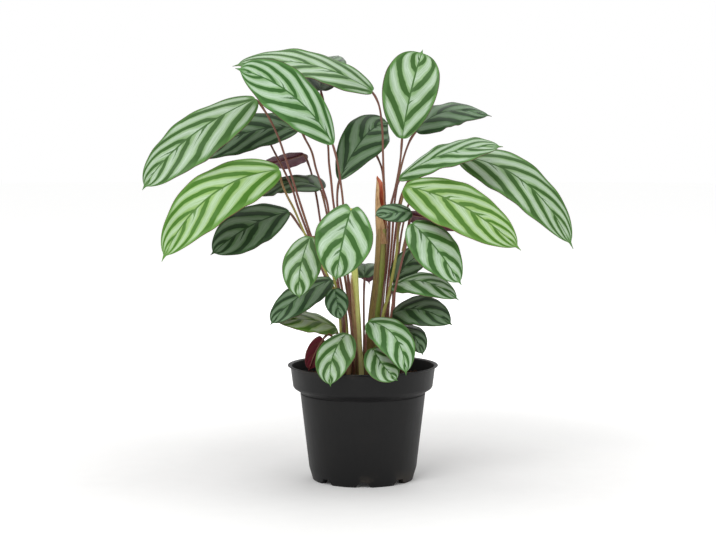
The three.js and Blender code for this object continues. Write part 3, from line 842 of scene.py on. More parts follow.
@dataclass(frozen=True)
class LeafFinish:
    """The colours of both faces of a leaf."""

    name: str
    silver: Colour
    pale: Colour
    band: Colour
    margin: Colour
    rib: Colour
    under: Colour
    under_rib: Colour

    def upper(self, bands: bpy.types.NodeTree, grain: bpy.types.NodeTree) -> bpy.types.Material:
        """Build the patterned upper face."""
        material, graph, shader = new_material(f"{self.name}_upper", 0.4, 0.24)
        seed = graph.stored("seed")
        pattern = use_group(graph, bands, Place=graph.uv(), Seed=seed, Bands=graph.stored("bands"))
        mottle = use_group(graph, grain, Place=graph.place(), Scale=260.0)
        veins = pattern["Veins"]
        ground = graph.mix(pattern["Middle"], self.pale, self.silver)
        ground = graph.mix(graph.rise(veins, 0.72, 0.3), ground, graph.mix(0.45, ground, self.margin))
        colour = graph.mix(pattern["Band"], ground, self.band)
        rim = graph.mix(graph.math("MULTIPLY", pattern["Band"], 0.55), self.margin, self.band)
        colour = graph.mix(pattern["Margin"], colour, rim)
        colour = graph.mix(pattern["Rib"], colour, self.rib)
        colour = graph.mix(graph.math("MULTIPLY", pattern["Edge"], 0.8), colour, self.under)
        shade = graph.math("ADD", graph.span(mottle["Mottle"], 0.86, 1.14), graph.span(veins, -0.07, 0.07))
        shade = graph.math("ADD", shade, graph.span(seed, -0.06, 0.06))
        put_colour(graph, shader, colour, shade, graph.span(seed, 0.493, 0.507))
        waxy = graph.span(pattern["Band"], 0.46, 0.4)
        graph.put(shader["Roughness"], graph.math("ADD", waxy, graph.span(mottle["Grain"], -0.06, 0.06)))
        height = graph.math("ADD", veins, graph.math("MULTIPLY", mottle["Grain"], 0.3))
        put_bump(graph, shader, height, 0.00035, 0.6)
        return material

    def lower(self, bands: bpy.types.NodeTree, grain: bpy.types.NodeTree) -> bpy.types.Material:
        """Build the plain wine-coloured lower face."""
        material, graph, shader = new_material(f"{self.name}_lower", 0.5, 0.3)
        seed = graph.stored("seed")
        pattern = use_group(graph, bands, Place=graph.uv(), Seed=seed, Bands=graph.stored("bands"))
        mottle = use_group(graph, grain, Place=graph.place(), Scale=240.0)
        faint = graph.mix(graph.math("MULTIPLY", pattern["Band"], 0.08), self.under, self.band)
        colour = graph.mix(pattern["Rib"], faint, self.under_rib)
        blotches = graph.span(mottle["Mottle"], -0.15, 0.15)
        shade = graph.math("ADD", graph.span(pattern["Veins"], 0.75, 1.25), blotches)
        put_colour(graph, shader, colour, shade)
        graph.put(shader["Roughness"], graph.span(mottle["Grain"], 0.42, 0.6))
        put_bump(graph, shader, pattern["Veins"], 0.0004, 0.7)
        return material


@dataclass(frozen=True)
class StalkFinish:
    """The colours of a stalk from its foot to its top."""

    tone: StalkTone
    foot: Colour
    middle: Colour
    top: Colour
    streak: Colour
    roughness: float = 0.42
    ribs: float = 0.00025

    def material(self, grain: bpy.types.NodeTree) -> bpy.types.Material:
        """Build the streaked skin, which follows the stalk's own UV."""
        material, graph, shader = new_material(self.tone.value, self.roughness, 0.4)
        along, around, _ = graph.parts(graph.uv())
        seed = graph.stored("seed")
        mottle = use_group(graph, grain, Place=graph.place(), Scale=420.0)
        turn = graph.math("MULTIPLY", around, math.tau)
        stretched = graph.math("MULTIPLY", along, 2.2)
        ring = graph.vector(graph.math("SINE", turn), graph.math("COSINE", turn), stretched)
        moved = graph.add("ShaderNodeVectorMath", operation="ADD")
        graph.put(moved.inputs[0], ring)
        graph.put(moved.inputs[1], graph.vector(seed, graph.math("MULTIPLY", seed, 17.0), seed))
        streaks = graph.clouds(moved.outputs[0], 3.2, 4.0, 0.65)
        fine = graph.clouds(moved.outputs[0], 9.0, 2.0)
        drift = graph.math("MULTIPLY_ADD", graph.math("SUBTRACT", streaks, 0.5), 0.35, along)
        colour = graph.mix(graph.rise(drift, 0.05, 0.42), self.foot, self.middle)
        colour = graph.mix(graph.rise(drift, 0.6, 0.95), colour, self.top)
        colour = graph.mix(graph.rise(streaks, 0.5, 0.68), colour, self.streak)
        speckle = graph.span(mottle["Grain"], -0.12, 0.12)
        put_colour(graph, shader, colour, graph.math("ADD", graph.span(fine, 0.7, 1.2), speckle))
        smoothest, roughest = self.roughness - 0.08, self.roughness + 0.12
        graph.put(shader["Roughness"], graph.span(mottle["Grain"], smoothest, roughest))
        put_bump(graph, shader, graph.math("ADD", fine, graph.math("MULTIPLY", streaks, 0.5)), self.ribs)
        return material


@dataclass(frozen=True)
class PotFinish:
    """Black moulded plastic, satin, with dust and handling marks."""

    body: Colour = paint(9, 9, 10)
    dust: Colour = paint(96, 88, 78)

    def material(self, grain: bpy.types.NodeTree) -> bpy.types.Material:
        """Build the plastic."""
        material, graph, shader = new_material("pot_plastic", 0.5, 0.28)
        place = graph.place()
        x, y, z = graph.parts(place)
        mottle = use_group(graph, grain, Place=place, Scale=900.0)
        patches = graph.clouds(place, 28.0, 4.0, 0.6)
        squeezed = graph.vector(graph.math("MULTIPLY", x, 9.0), graph.math("MULTIPLY", y, 9.0), z)
        drawn = graph.clouds(squeezed, 22.0, 3.0)
        near_rim = graph.rise(z, 0.122, 0.131)
        near_foot = graph.rise(z, 0.02, 0.0)
        near_end = graph.math("MAXIMUM", near_rim, near_foot)
        soiled = graph.math("MULTIPLY", near_end, graph.rise(patches, 0.5, 0.68))
        dusty = graph.math("MULTIPLY", soiled, 0.3)
        film = graph.math("MULTIPLY_ADD", graph.rise(patches, 0.42, 0.75), 0.02, dusty)
        colour = graph.mix(film, self.body, self.dust)
        put_colour(graph, shader, colour, graph.span(mottle["Mottle"], 0.82, 1.18))
        rough = graph.math("ADD", graph.span(patches, 0.4, 0.56), graph.span(drawn, -0.05, 0.08))
        graph.put(shader["Roughness"], graph.math("MULTIPLY_ADD", soiled, 0.2, rough))
        height = graph.math("MULTIPLY_ADD", drawn, 0.8, mottle["Grain"])
        put_bump(graph, shader, height, 0.00006)
        return material


@dataclass(frozen=True)
class SoilFinish:
    """Brown potting soil, darker between its clods, with lighter fibre in it."""

    between_clods: Colour = paint(38, 25, 18)
    dry: Colour = paint(84, 60, 42)
    fibre: Colour = paint(128, 92, 58)

    def material(self, name: str, share_of_fibre: float, grain: bpy.types.NodeTree) -> bpy.types.Material:
        """Build the soil, or its fibres, by how much fibre colour shows."""
        material, graph, shader = new_material(name, 0.95, 0.15)
        place = graph.place()
        mottle = use_group(graph, grain, Place=place, Scale=1100.0)
        clods = graph.cells(place, 260.0)
        # Darker towards the edges of the clod cells, where the bump sinks the surface, lighter on the clods.
        colour = graph.mix(graph.rise(clods, 0.1, 0.6), self.dry, self.between_clods)
        fibrous = graph.math("MULTIPLY", graph.rise(mottle["Mottle"], 0.35, 0.65), share_of_fibre)
        colour = graph.mix(fibrous, colour, self.fibre)
        put_colour(graph, shader, colour, graph.span(mottle["Grain"], 0.6, 1.4))
        graph.put(shader["Roughness"], graph.span(mottle["Grain"], 0.8, 1.0))
        height = graph.math("SUBTRACT", mottle["Grain"], graph.math("MULTIPLY", clods, 0.8))
        put_bump(graph, shader, height, 0.0012)
        return material


LEAF_FINISHES = {
    Tone.MATURE: LeafFinish(
        "mature_leaf", silver=paint(184, 204, 182), pale=paint(140, 172, 124), band=paint(54, 94, 38),
        margin=paint(88, 134, 68), rib=paint(62, 102, 46),
        under=paint(88, 26, 44), under_rib=paint(118, 64, 60),
    ),
    Tone.FRESH: LeafFinish(
        "fresh_leaf", silver=paint(176, 198, 162), pale=paint(144, 174, 102), band=paint(68, 110, 28),
        margin=paint(104, 144, 66), rib=paint(76, 112, 42),
        under=paint(104, 30, 44), under_rib=paint(140, 90, 62),
    ),
    # Darker, duller copy of the leaf colours: partly older leaves, partly painted shade for leaves inside and
    # behind the plant.
    Tone.SHADED: LeafFinish(
        "shaded_leaf", silver=paint(118, 142, 114), pale=paint(86, 116, 76), band=paint(34, 60, 30),
        margin=paint(58, 92, 48), rib=paint(42, 70, 36),
        under=paint(78, 22, 40), under_rib=paint(100, 52, 52),
    ),
}
STALK_FINISHES = {
    StalkTone.MAROON: StalkFinish(
        StalkTone.MAROON, foot=paint(128, 108, 60), middle=paint(124, 72, 64), top=paint(112, 70, 60),
        streak=paint(152, 122, 72),
    ),
    StalkTone.GREEN: StalkFinish(
        StalkTone.GREEN, foot=paint(190, 186, 108), middle=paint(166, 168, 80), top=paint(130, 102, 62),
        streak=paint(148, 104, 62),
    ),
    StalkTone.PALE: StalkFinish(
        StalkTone.PALE, foot=paint(226, 222, 148), middle=paint(216, 218, 128), top=paint(170, 170, 86),
        streak=paint(196, 206, 104),
    ),
    StalkTone.PAPERY: StalkFinish(
        StalkTone.PAPERY, foot=paint(158, 126, 86), middle=paint(192, 156, 110), top=paint(198, 162, 116),
        streak=paint(138, 100, 62), roughness=0.6, ribs=0.0004,
    ),
}
SHEATH_INSIDE = StalkFinish(
    StalkTone.PAPERY, foot=paint(150, 74, 44), middle=paint(176, 82, 52), top=paint(190, 100, 70),
    streak=paint(196, 128, 92), roughness=0.55,
)
CORE_GREEN = StalkFinish(
    StalkTone.GREEN, foot=paint(136, 134, 62), middle=paint(132, 148, 60), top=paint(140, 134, 70),
    streak=paint(104, 108, 46), ribs=0.0004,
)
OLIVE_SHEATH = StalkFinish(
    StalkTone.PAPERY, foot=paint(98, 76, 44), middle=paint(128, 108, 54), top=paint(146, 120, 72),
    streak=paint(86, 56, 38), roughness=0.5, ribs=0.0005,
)


class Dresser:
    """Builds each finish once and hands it out."""

    def __init__(self) -> None:
        """Build the shared groups and every material."""
        grain = grain_group()
        bands = bands_group()
        self.upper = {tone: finish.upper(bands, grain) for tone, finish in LEAF_FINISHES.items()}
        self.lower = {tone: finish.lower(bands, grain) for tone, finish in LEAF_FINISHES.items()}
        self.stalk = {tone: finish.material(grain) for tone, finish in STALK_FINISHES.items()}
        self.sheath_inside = SHEATH_INSIDE.material(grain)
        self.core = CORE_GREEN.material(grain)
        self.olive = OLIVE_SHEATH.material(grain)
        self.pot = PotFinish().material(grain)
        self.soil = SoilFinish().material("soil_earth", 0.15, grain)
        self.fibre = SoilFinish().material("soil_fibre", 1.0, grain)


@dataclass
class Leaf:
    """A thin blade bent onto its midrib, patterned above and wine-coloured below."""

    name: str
    blade: Blade
    seed: float
    length_steps: int = 64
    width_steps: int = 30
    thickness: float = 0.5
    blade_end: float = 0.96
    root_half_width: float = 1.3
    tip_half_width: float = 0.35
    drip_tip_start: float = 0.88
    drip_tip_slope: float = 0.7
    lobe_reach: float = 0.25
    rib_groove: float = 0.45
    rib_half_width: float = 1.6
    quilt: float = 0.3
    wave: float = 0.05
    crowding: float = 0.35
    lopsided: float = 0.06
    groove_full_at: float = 6.0
    quilt_full_at: float = 14.0
    wave_full_at: float = 50.0
    broad_ripples: float = 2.3
    narrow_ripples: float = 5.1
    lobe_power: float = 1.5
    rib_depth: float = 1.1
    rib_rise: float = 0.7

    @property
    def bands(self) -> float:
        """How closely the bands follow each other, fewer on a short blade."""
        base, middle, tip = (Vector(p) for p in (self.blade.base, self.blade.middle, self.blade.tip))
        length = (middle - base).length + (tip - middle).length
        return min(MOST_BANDS, max(FEWEST_BANDS, length * BANDS_PER_MM))

    def half_width(self, along: float) -> float:
        """Give the half width at a share of the midrib: round base, fine drip tip."""
        root, taper = self.blade.root, self.blade.taper
        widest = root / (root + taper)
        peak = widest**root * (1 - widest) ** taper
        body = min(along / self.blade_end, 1)
        share = body**root * (1 - body) ** taper / peak
        least = self.root_half_width + (self.tip_half_width - self.root_half_width) * along
        drip_tip = self.drip_tip_slope * self.blade.width * (1 - along) if along > self.drip_tip_start else 0
        return max(least, self.blade.width / 2 * share, drip_tip)

    def midrib(self, along: float) -> tuple[Vector, Vector, Vector]:
        """Give the midrib's point, direction and upward normal at a share of its length."""
        base, middle, tip = (Vector(p) for p in (self.blade.base, self.blade.middle, self.blade.tip))
        control = middle * 2 - (base + tip) / 2
        point = base * (1 - along) ** 2 + control * 2 * along * (1 - along) + tip * along**2
        tangent = ((control - base) * (1 - along) + (tip - control) * along).normalized()
        facing = Vector(self.blade.facing)
        normal = (facing - tangent * facing.dot(tangent)).normalized()
        return point, tangent, normal

    def lift(self, along: float, across: float, half: float) -> float:
        """Give how far the surface stands off its smooth shape, in mm."""
        reach = abs(across)
        off_rib = reach * half / self.rib_half_width
        groove = -self.rib_groove * math.exp(-off_rib * off_rib) * min(1.0, half / self.groove_full_at)
        bands = math.cos(math.tau * (band_index(along, across, self.seed, self.bands) - 0.5))
        quilt = self.quilt * bands * min(1.0, half / self.quilt_full_at)
        quilt *= (1 - reach**4) * min(1.0, off_rib)
        side = 1.7 if across > 0 else 0.0
        ripple = math.sin(math.tau * (self.broad_ripples * along + self.seed * 3) + side)
        ripple += 0.5 * math.sin(math.tau * (self.narrow_ripples * along + self.seed * 7) + side * 2)
        size = min(1.0, self.blade.width / self.wave_full_at) ** 2
        edge = self.wave * half * size * reach**3 * ripple * math.sin(math.pi * min(1.0, along)) ** 0.5
        return groove + quilt + edge

    def place(self, u: float, v: float) -> tuple[Vector, tuple[float, float]]:
        """Put one point of the grid on the blade."""
        along = (1 - math.cos(math.pi * u)) / 2
        spread = v * 2 - 1
        across = spread * abs(spread) ** self.crowding
        half = self.half_width(along)
        half *= 1 + self.lopsided * math.sin(self.seed * math.tau) * across
        point, tangent, normal = self.midrib(along)
        side = normal.cross(tangent)
        near_base = max(0.0, 1 - along / self.lobe_reach)
        lobe = self.blade.lobe * abs(across) ** self.lobe_power * near_base**2
        point = point + side * across * half
        point += normal * (self.blade.cup * half * across * across + self.lift(along, across, half))
        point -= tangent * lobe * min(1.0, half / self.groove_full_at)
        return point, (along, (across + 1) / 2)

    def build(self, dresser: Dresser) -> bpy.types.Object:
        """Make the blade and give it its two faces."""
        piece = bent_grid(self.name, (self.length_steps, self.width_steps), self.place)
        look = self.blade.look or self.blade.tone
        piece.data.materials.append(dresser.upper[look])
        piece.data.materials.append(dresser.lower[look])
        apply_modifier(
            piece, "SOLIDIFY", thickness=self.thickness * MM, offset=0.0,
            material_offset=1, material_offset_rim=1,
        )
        smooth_shade(piece, 60.0)
        mark(piece, seed=self.seed, bands=self.bands)
        return piece

    def under_rib(self) -> list[Point]:
        """Give points just below the midrib, which the stalk runs on along."""
        points = []
        for along in (0.0, 0.05, 0.12, 0.24, 0.38, 0.56, 0.74, 0.88):
            point, _, normal = self.midrib(along)
            depth = self.rib_groove + self.rib_depth - self.rib_rise * along
            points.append(tuple(point - normal * depth))
        return points


@dataclass
class StalkRod:
    """A slender stalk from the soil, swollen where it meets the blade, that ends as its rib."""

    name: str
    path: Path
    tone: StalkTone
    leaf: Leaf
    radius: float = 1.6
    top_radius: float = 1.15
    rib_radius: float = 0.3
    foot_spread: float = 0.45
    foot_reach: float = 26.0
    knee_length: float = 13.0
    knee_swell: float = 0.28
    bow: float = 0.5
    bow_lengths: tuple[float, float] = (27.0, 33.0)
    station_gap: float = 3.0
    sides: int = 14

    def radius_at(self, reach: float, stalk_length: float, whole: float) -> float:
        """Give the radius at a distance from the foot, in mm."""
        if reach > stalk_length:
            share = (reach - stalk_length) / (whole - stalk_length)
            return 1.0 + (self.rib_radius - 1.0) * share
        share = reach / stalk_length
        radius = self.radius + (self.top_radius - self.radius) * share
        radius *= 1 + self.foot_spread * math.exp(-((reach / self.foot_reach) ** 2))
        knee = (stalk_length - self.knee_length * 0.6 - reach) / (self.knee_length * 0.5)
        return radius * (1 + self.knee_swell * math.exp(-knee * knee))

    def build(self, dresser: Dresser) -> bpy.types.Object:
        """Make the stalk as one closed tube."""
        points = [*self.path, *self.leaf.under_rib()]
        spine = Spine.through(points, self.station_gap)
        base = Vector(self.leaf.blade.base)
        last = min(range(len(spine.stations)), key=lambda i: (spine.stations[i] - base).length)
        stalk_length = spine.reach[last]
        count = len(spine.stations) - 1
        seed = self.leaf.seed

        def place(u: float, v: float) -> tuple[Vector, tuple[float, float]]:
            """Put one point of the grid on the stalk's skin."""
            at = round(u * count)
            reach = spine.reach[at]
            angle = v * math.tau
            radius = self.radius_at(reach, stalk_length, spine.length)
            radius *= 1 + 0.05 * math.sin(3 * angle + reach / 31) + 0.04 * math.sin(reach / 9 + seed * 40)
            fade = math.sin(math.pi * min(1.0, reach / stalk_length)) if reach < stalk_length else 0.0
            first, second = self.bow_lengths
            sway = Vector((math.sin(reach / first + seed * 50), math.cos(reach / second + seed * 70), 0))
            return spine.point(at / count, angle, radius) + sway * self.bow * fade, (reach / stalk_length, v)

        piece = bent_grid(self.name, (count, self.sides), place)
        close_tube(piece)
        smooth_shade(piece, 70.0)
        piece.data.materials.append(dresser.stalk[self.tone])
        mark(piece, seed=seed)
        return piece


@dataclass
class Wrap:
    """A thin sheath that hugs a stem part of the way round and runs out to a point."""

    name: str
    path: Path
    radius: float
    top_radius: float
    facing: float
    spread: float
    top_spread: float
    seed: float
    thickness: float = 0.5
    flare: float = 0.0
    point_share: float = 0.0
    station_gap: float = 2.5
    steps: tuple[int, int] = (48, 24)

    def build(self, outside: bpy.types.Material, inside: bpy.types.Material) -> bpy.types.Object:
        """Make the sheath as a thin closed shell."""
        spine = Spine.through(self.path, self.station_gap)

        def place(u: float, v: float) -> tuple[Vector, tuple[float, float]]:
            """Put one point of the grid on the sheath."""
            open_share = self.spread + (self.top_spread - self.spread) * u**1.5
            end = max(0.0, (u - 1 + self.point_share) / self.point_share) if self.point_share else 0.0
            width = open_share * (1 - end**1.6)
            sideways = v * 2 - 1
            edge = 1 + 0.05 * math.sin(u * 23 + self.seed * 9 + sideways)
            angle = self.facing + width * sideways * edge
            radius = self.radius + (self.top_radius - self.radius) * u
            radius += self.flare * u * u * abs(sideways) ** 2 + 0.25 * abs(sideways) ** 3
            radius += 0.1 * math.sin(angle * 9 + self.seed * 5)
            return spine.point(u, angle, radius), (u, 0.5 + angle / math.tau)

        piece = bent_grid(self.name, self.steps, place)
        piece.data.materials.append(outside)
        piece.data.materials.append(inside)
        apply_modifier(
            piece, "SOLIDIFY", thickness=self.thickness * MM, offset=-1.0,
            material_offset=1, material_offset_rim=0,
        )
        smooth_shade(piece, 60.0)
        mark(piece, seed=self.seed)
        return piece


def turned(name: str, profile: list[tuple[float, float]], segments: int) -> bpy.types.Object:
    """Spin an outline of (radius, height) points round the pot's axis.

    Args:
        name: The object's name.
        profile: The outline in mm, from the axis at the bottom round to the axis at the top.
        segments: How many steps the turn takes.

    Returns:
        The closed solid.
    """
    deselect_all()
    bpy.ops.mesh.primitive_circle_add(vertices=len(profile), radius=1)
    piece = bpy.context.active_object
    piece.name = name
    piece.data.name = name
    for vertex, (radius, height) in zip(piece.data.vertices, profile):
        vertex.co = Vector((radius, 0, height)) * MM
    bpy.ops.object.mode_set(mode="EDIT")
    bpy.ops.mesh.select_mode(type="EDGE")
    bpy.ops.mesh.select_all(action="DESELECT")
    bpy.ops.object.mode_set(mode="OBJECT")
    for edge in piece.data.edges:
        edge.select = all(piece.data.vertices[index].co.x < WELD_GAP for index in edge.vertices)
    bpy.ops.object.mode_set(mode="EDIT")
    bpy.ops.mesh.delete(type="EDGE_FACE")
    bpy.ops.mesh.select_all(action="SELECT")
    bpy.ops.mesh.spin(steps=segments, angle=math.tau, center=(0, 0, 0), axis=(0, 0, 1))
    bpy.ops.mesh.select_all(action="SELECT")
    bpy.ops.mesh.remove_doubles(threshold=WELD_GAP)
    bpy.ops.mesh.normals_make_consistent(inside=False)
    bpy.ops.mesh.select_mode(type="VERT")
    bpy.ops.object.mode_set(mode="OBJECT")
    return piece


def scatter(name: str, model: bpy.types.Object, places: list[Matrix]) -> bpy.types.Object:
    """Copy a model to each place, and join the copies into one piece.

    Args:
        name: The joined piece's name.
        model: The shape to copy, which is used up.
        places: Where each copy goes, in metres.

    Returns:
        The joined piece.
    """
    copies = []
    for place in places:
        copy = model.copy()
        copy.data = model.data.copy()
        copy.data.transform(place)
        bpy.context.collection.objects.link(copy)
        copies.append(copy)
    bpy.data.objects.remove(model)
    return join(name, copies)


@dataclass
class NurseryPot:
    """A round black pot with a stepped collar, a flat lip, and drainage in its foot."""

    height: float = 130.0
    lip_radius: float = 85.0
    lip_depth: float = 2.6
    collar_top_radius: float = 81.8
    collar_foot_radius: float = 79.0
    collar_foot_height: float = 106.0
    body_top_radius: float = 70.8
    body_top_height: float = 99.5
    body_foot_radius: float = 61.0
    body_foot_height: float = 14.0
    foot_radius: float = 57.0
    foot_width: float = 7.0
    foot_height: float = 6.5
    groove_depth: float = 0.7
    groove_height: float = 2.0
    wall: float = 1.6
    base_thickness: float = 2.0
    gate_radius: float = 7.0
    notch_count: int = 8
    notch_foot_width: float = 18.0
    notch_top_width: float = 9.0
    drain_radius: float = 4.5
    drain_circle_radius: float = 40.0
    segments: int = 144

    def profile(self) -> list[tuple[float, float]]:
        """Give the wall's outline, from the gate under the base round to the floor inside."""
        floor = self.foot_height + self.base_thickness
        inner = self.foot_radius - self.foot_width
        step = self.wall - 0.2
        return [
            (0, 0), (self.gate_radius, 0), (self.gate_radius, self.foot_height),
            (inner, self.foot_height), (inner, 0), (self.foot_radius, 0),
            (self.foot_radius + 1, 4), (self.body_foot_radius, self.body_foot_height),
            (self.body_top_radius, self.body_top_height - self.groove_height),
            (self.body_top_radius - self.groove_depth, self.body_top_height - self.groove_height / 2),
            (self.body_top_radius, self.body_top_height),
            (self.collar_foot_radius - 1.4, self.collar_foot_height - 2.2),
            (self.collar_foot_radius, self.collar_foot_height),
            (self.collar_top_radius, self.height - self.lip_depth),
            (self.lip_radius, self.height - 1), (self.lip_radius, self.height - 0.3),
            (self.lip_radius - 0.4, self.height),
            (self.collar_top_radius - self.wall + 0.3, self.height - 0.9),
            (self.collar_top_radius - self.wall, self.height - self.lip_depth),
            (self.collar_foot_radius - self.wall, self.collar_foot_height + 1),
            (self.body_top_radius - step, self.body_top_height),
            (self.body_foot_radius - self.wall, self.body_foot_height),
            (self.body_foot_radius - self.wall - 2, floor), (0, floor),
        ]

    def cutters(self) -> bpy.types.Object:
        """Make the tapered notches and the round drain holes as one cutting tool."""
        tools = []
        for index in range(self.notch_count):
            turn = Matrix.Rotation(math.tau * index / self.notch_count, 4, "Z")
            deselect_all()
            bpy.ops.mesh.primitive_cone_add(
                vertices=4, radius1=self.notch_foot_width / math.sqrt(2) * MM,
                radius2=self.notch_top_width / math.sqrt(2) * MM,
                depth=(self.foot_height + 0.5) * MM,
            )
            notch = bpy.context.active_object
            notch.data.transform(Matrix.Rotation(math.radians(45), 4, "Z"))
            notch.data.transform(Matrix.Diagonal((1, 1.7, 1, 1)))
            notch.data.transform(Matrix.Translation(
                Vector((0, self.foot_radius - self.foot_width / 2, self.foot_height / 2 - 0.75)) * MM))
            notch.data.transform(turn)
            deselect_all()
            bpy.ops.mesh.primitive_cylinder_add(
                vertices=32, radius=self.drain_radius * MM, depth=self.foot_height * 2 * MM)
            drain = bpy.context.active_object
            drain.data.transform(Matrix.Translation(
                Vector((0, self.drain_circle_radius, self.foot_height + self.base_thickness)) * MM))
            drain.data.transform(turn)
            tools += [notch, drain]
        return join("pot_cutters", tools)

    def build(self, dresser: Dresser) -> bpy.types.Object:
        """Make the pot: turned, with softened edges, then cut."""
        pot = turned("nursery_pot", self.profile(), self.segments)
        apply_modifier(
            pot, "BEVEL", width=0.35 * MM, segments=3, limit_method="ANGLE",
            angle_limit=math.radians(24),
        )
        cutters = self.cutters()
        apply_modifier(pot, "BOOLEAN", object=cutters, operation="DIFFERENCE", solver="EXACT")
        bpy.data.objects.remove(cutters)
        smooth_shade(pot, 32.0)
        pot.data.materials.clear()
        pot.data.materials.append(dresser.pot)
        return pot


@dataclass
class PottingSoil:
    """Crumbly soil that fills the pot, with loose clods and fibres on top."""

    pot: NurseryPot
    edge_height: float = 114.0
    crown_height: float = 121.0
    gap: float = 0.3
    rings: int = 42
    segments: int = 180
    clod_count: int = 420
    fibre_count: int = 120
    fibre_length: float = 14.0
    fibre_radius: float = 0.22
    lumps: tuple[tuple[float, float, float], ...] = ((11.0, 3.1, 1.3), (4.2, 9.7, 0.9), (1.9, 1.3, 0.5))

    @property
    def edge_radius(self) -> float:
        """Where the soil meets the pot's wall."""
        pot = self.pot
        rise = (self.edge_height - pot.collar_foot_height - 1) / (
            pot.height - pot.lip_depth - pot.collar_foot_height - 1)
        foot = pot.collar_foot_radius - pot.wall
        return foot + (pot.collar_top_radius - pot.collar_foot_radius) * rise - self.gap

    def surface(self, x: float, y: float) -> float:
        """Give the height of the soil's crumbled surface, in mm."""
        share = min(1.0, math.hypot(x, y) / self.edge_radius)
        smooth = self.edge_height + (self.crown_height - self.edge_height - 0.8) * (1 - share**2.4)
        crumbs = sum(
            height * noise.noise(Vector((x / width, y / width, layer))) for width, layer, height in self.lumps
        )
        return smooth + crumbs * (1 - share**8)

    def body(self) -> bpy.types.Object:
        """Make the body of soil inside the pot."""
        pot = self.pot
        floor = pot.foot_height + pot.base_thickness + self.gap
        profile = [
            (0, floor), (pot.body_foot_radius - pot.wall - 2 - self.gap, floor),
            (pot.body_foot_radius - pot.wall - self.gap, pot.body_foot_height),
            (pot.body_top_radius - pot.wall - self.gap, pot.body_top_height),
            (pot.collar_foot_radius - pot.wall - self.gap, pot.collar_foot_height + 1),
        ]
        top = [self.edge_radius * (1 - ring / self.rings) for ring in range(self.rings + 1)]
        profile += [(radius, self.edge_height) for radius in top]
        soil = turned("potting_soil", profile, self.segments)
        for vertex in soil.data.vertices:
            if vertex.co.z > (self.edge_height - 0.5) * MM:
                vertex.co.z = self.surface(vertex.co.x / MM, vertex.co.y / MM) * MM
        smooth_shade(soil, 50.0)
        return soil

    def spot(self, draw: random.Random, margin: float) -> tuple[float, float]:
        """Draw a place on the soil at random."""
        radius = (self.edge_radius - margin) * math.sqrt(draw.random())
        angle = draw.uniform(0, math.tau)
        return radius * math.cos(angle), radius * math.sin(angle)

    def clods(self, draw: random.Random) -> bpy.types.Object:
        """Strew small rough clods on the soil."""
        deselect_all()
        bpy.ops.mesh.primitive_ico_sphere_add(subdivisions=2, radius=MM)
        model = bpy.context.active_object
        for vertex in model.data.vertices:
            vertex.co *= 1 + 0.35 * noise.noise(vertex.co / MM * 1.3 + Vector((5, 2, 8)))
        smooth_shade(model, 40.0)
        places = []
        for _ in range(self.clod_count):
            x, y = self.spot(draw, 3.0)
            size = 0.7 + 2.1 * draw.random() ** 2.6
            at = Vector((x, y, self.surface(x, y) + size * 0.25)) * MM
            turn = Matrix.Rotation(draw.uniform(0, math.tau), 4, Vector((draw.random(), draw.random(), 1)))
            scale = Matrix.Diagonal((size, size * draw.uniform(0.7, 1.1), size * draw.uniform(0.5, 0.9), 1))
            places.append(Matrix.Translation(at) @ turn @ scale)
        return scatter("soil_clods", model, places)

    def fibres(self, draw: random.Random) -> bpy.types.Object:
        """Strew short bent fibres of coir and bark on the soil."""

        def place(u: float, v: float) -> tuple[Vector, tuple[float, float]]:
            """Put one point of the grid on a fibre's skin."""
            angle = v * math.tau
            thick = self.fibre_radius * (1 - 0.6 * abs(2 * u - 1) ** 3)
            x = (u - 0.5) * self.fibre_length
            centre = Vector((x, 1.6 * math.sin(u * 3.4), 1.1 * math.sin(u * math.pi)))
            return centre + Vector((0, -math.cos(angle), math.sin(angle))) * thick, (u, v)

        model = bent_grid("fibre", (7, 5), place)
        close_tube(model)
        places = []
        for _ in range(self.fibre_count):
            x, y = self.spot(draw, 9.0)
            size = draw.uniform(0.4, 1.15)
            at = Vector((x, y, self.surface(x, y) - 0.1)) * MM
            tilt = Matrix.Rotation(draw.uniform(-0.25, 0.25), 4, "X")
            turn = Matrix.Rotation(draw.uniform(0, math.tau), 4, "Z")
            places.append(Matrix.Translation(at) @ turn @ tilt @ Matrix.Diagonal((size, size, size, 1)))
        return scatter("soil_fibres", model, places)

    def build(self, dresser: Dresser) -> list[bpy.types.Object]:
        """Make the soil, its clods and its fibres."""
        draw = random.Random(11)
        soil, clods, fibres = self.body(), self.clods(draw), self.fibres(draw)
        for piece, finish in ((soil, dresser.soil), (clods, dresser.soil), (fibres, dresser.fibre)):
            piece.data.materials.clear()
            piece.data.materials.append(finish)
        return [soil, clods, fibres]


LEFT_SHOOT: Path = (
    (-4, -18, 108), (-5, -18, 147), (-7, -24, 190), (-9, -38, 235), (-11, -62, 275), (-12.5, -88, 303),
)
RIGHT_SHOOT: Path = ((10, -13, 108), (11, -15, 147), (14, -19, 190), (19, -22, 235), (21.5, -23, 285))
CORE_FOOT_RADIUS = 7.9
CORE_TOP_RADIUS = 5.6
SHEATH: Path = ((21.5, -23, 268), (19, -22.5, 300), (18.5, -22, 322), (19.5, -21, 343))


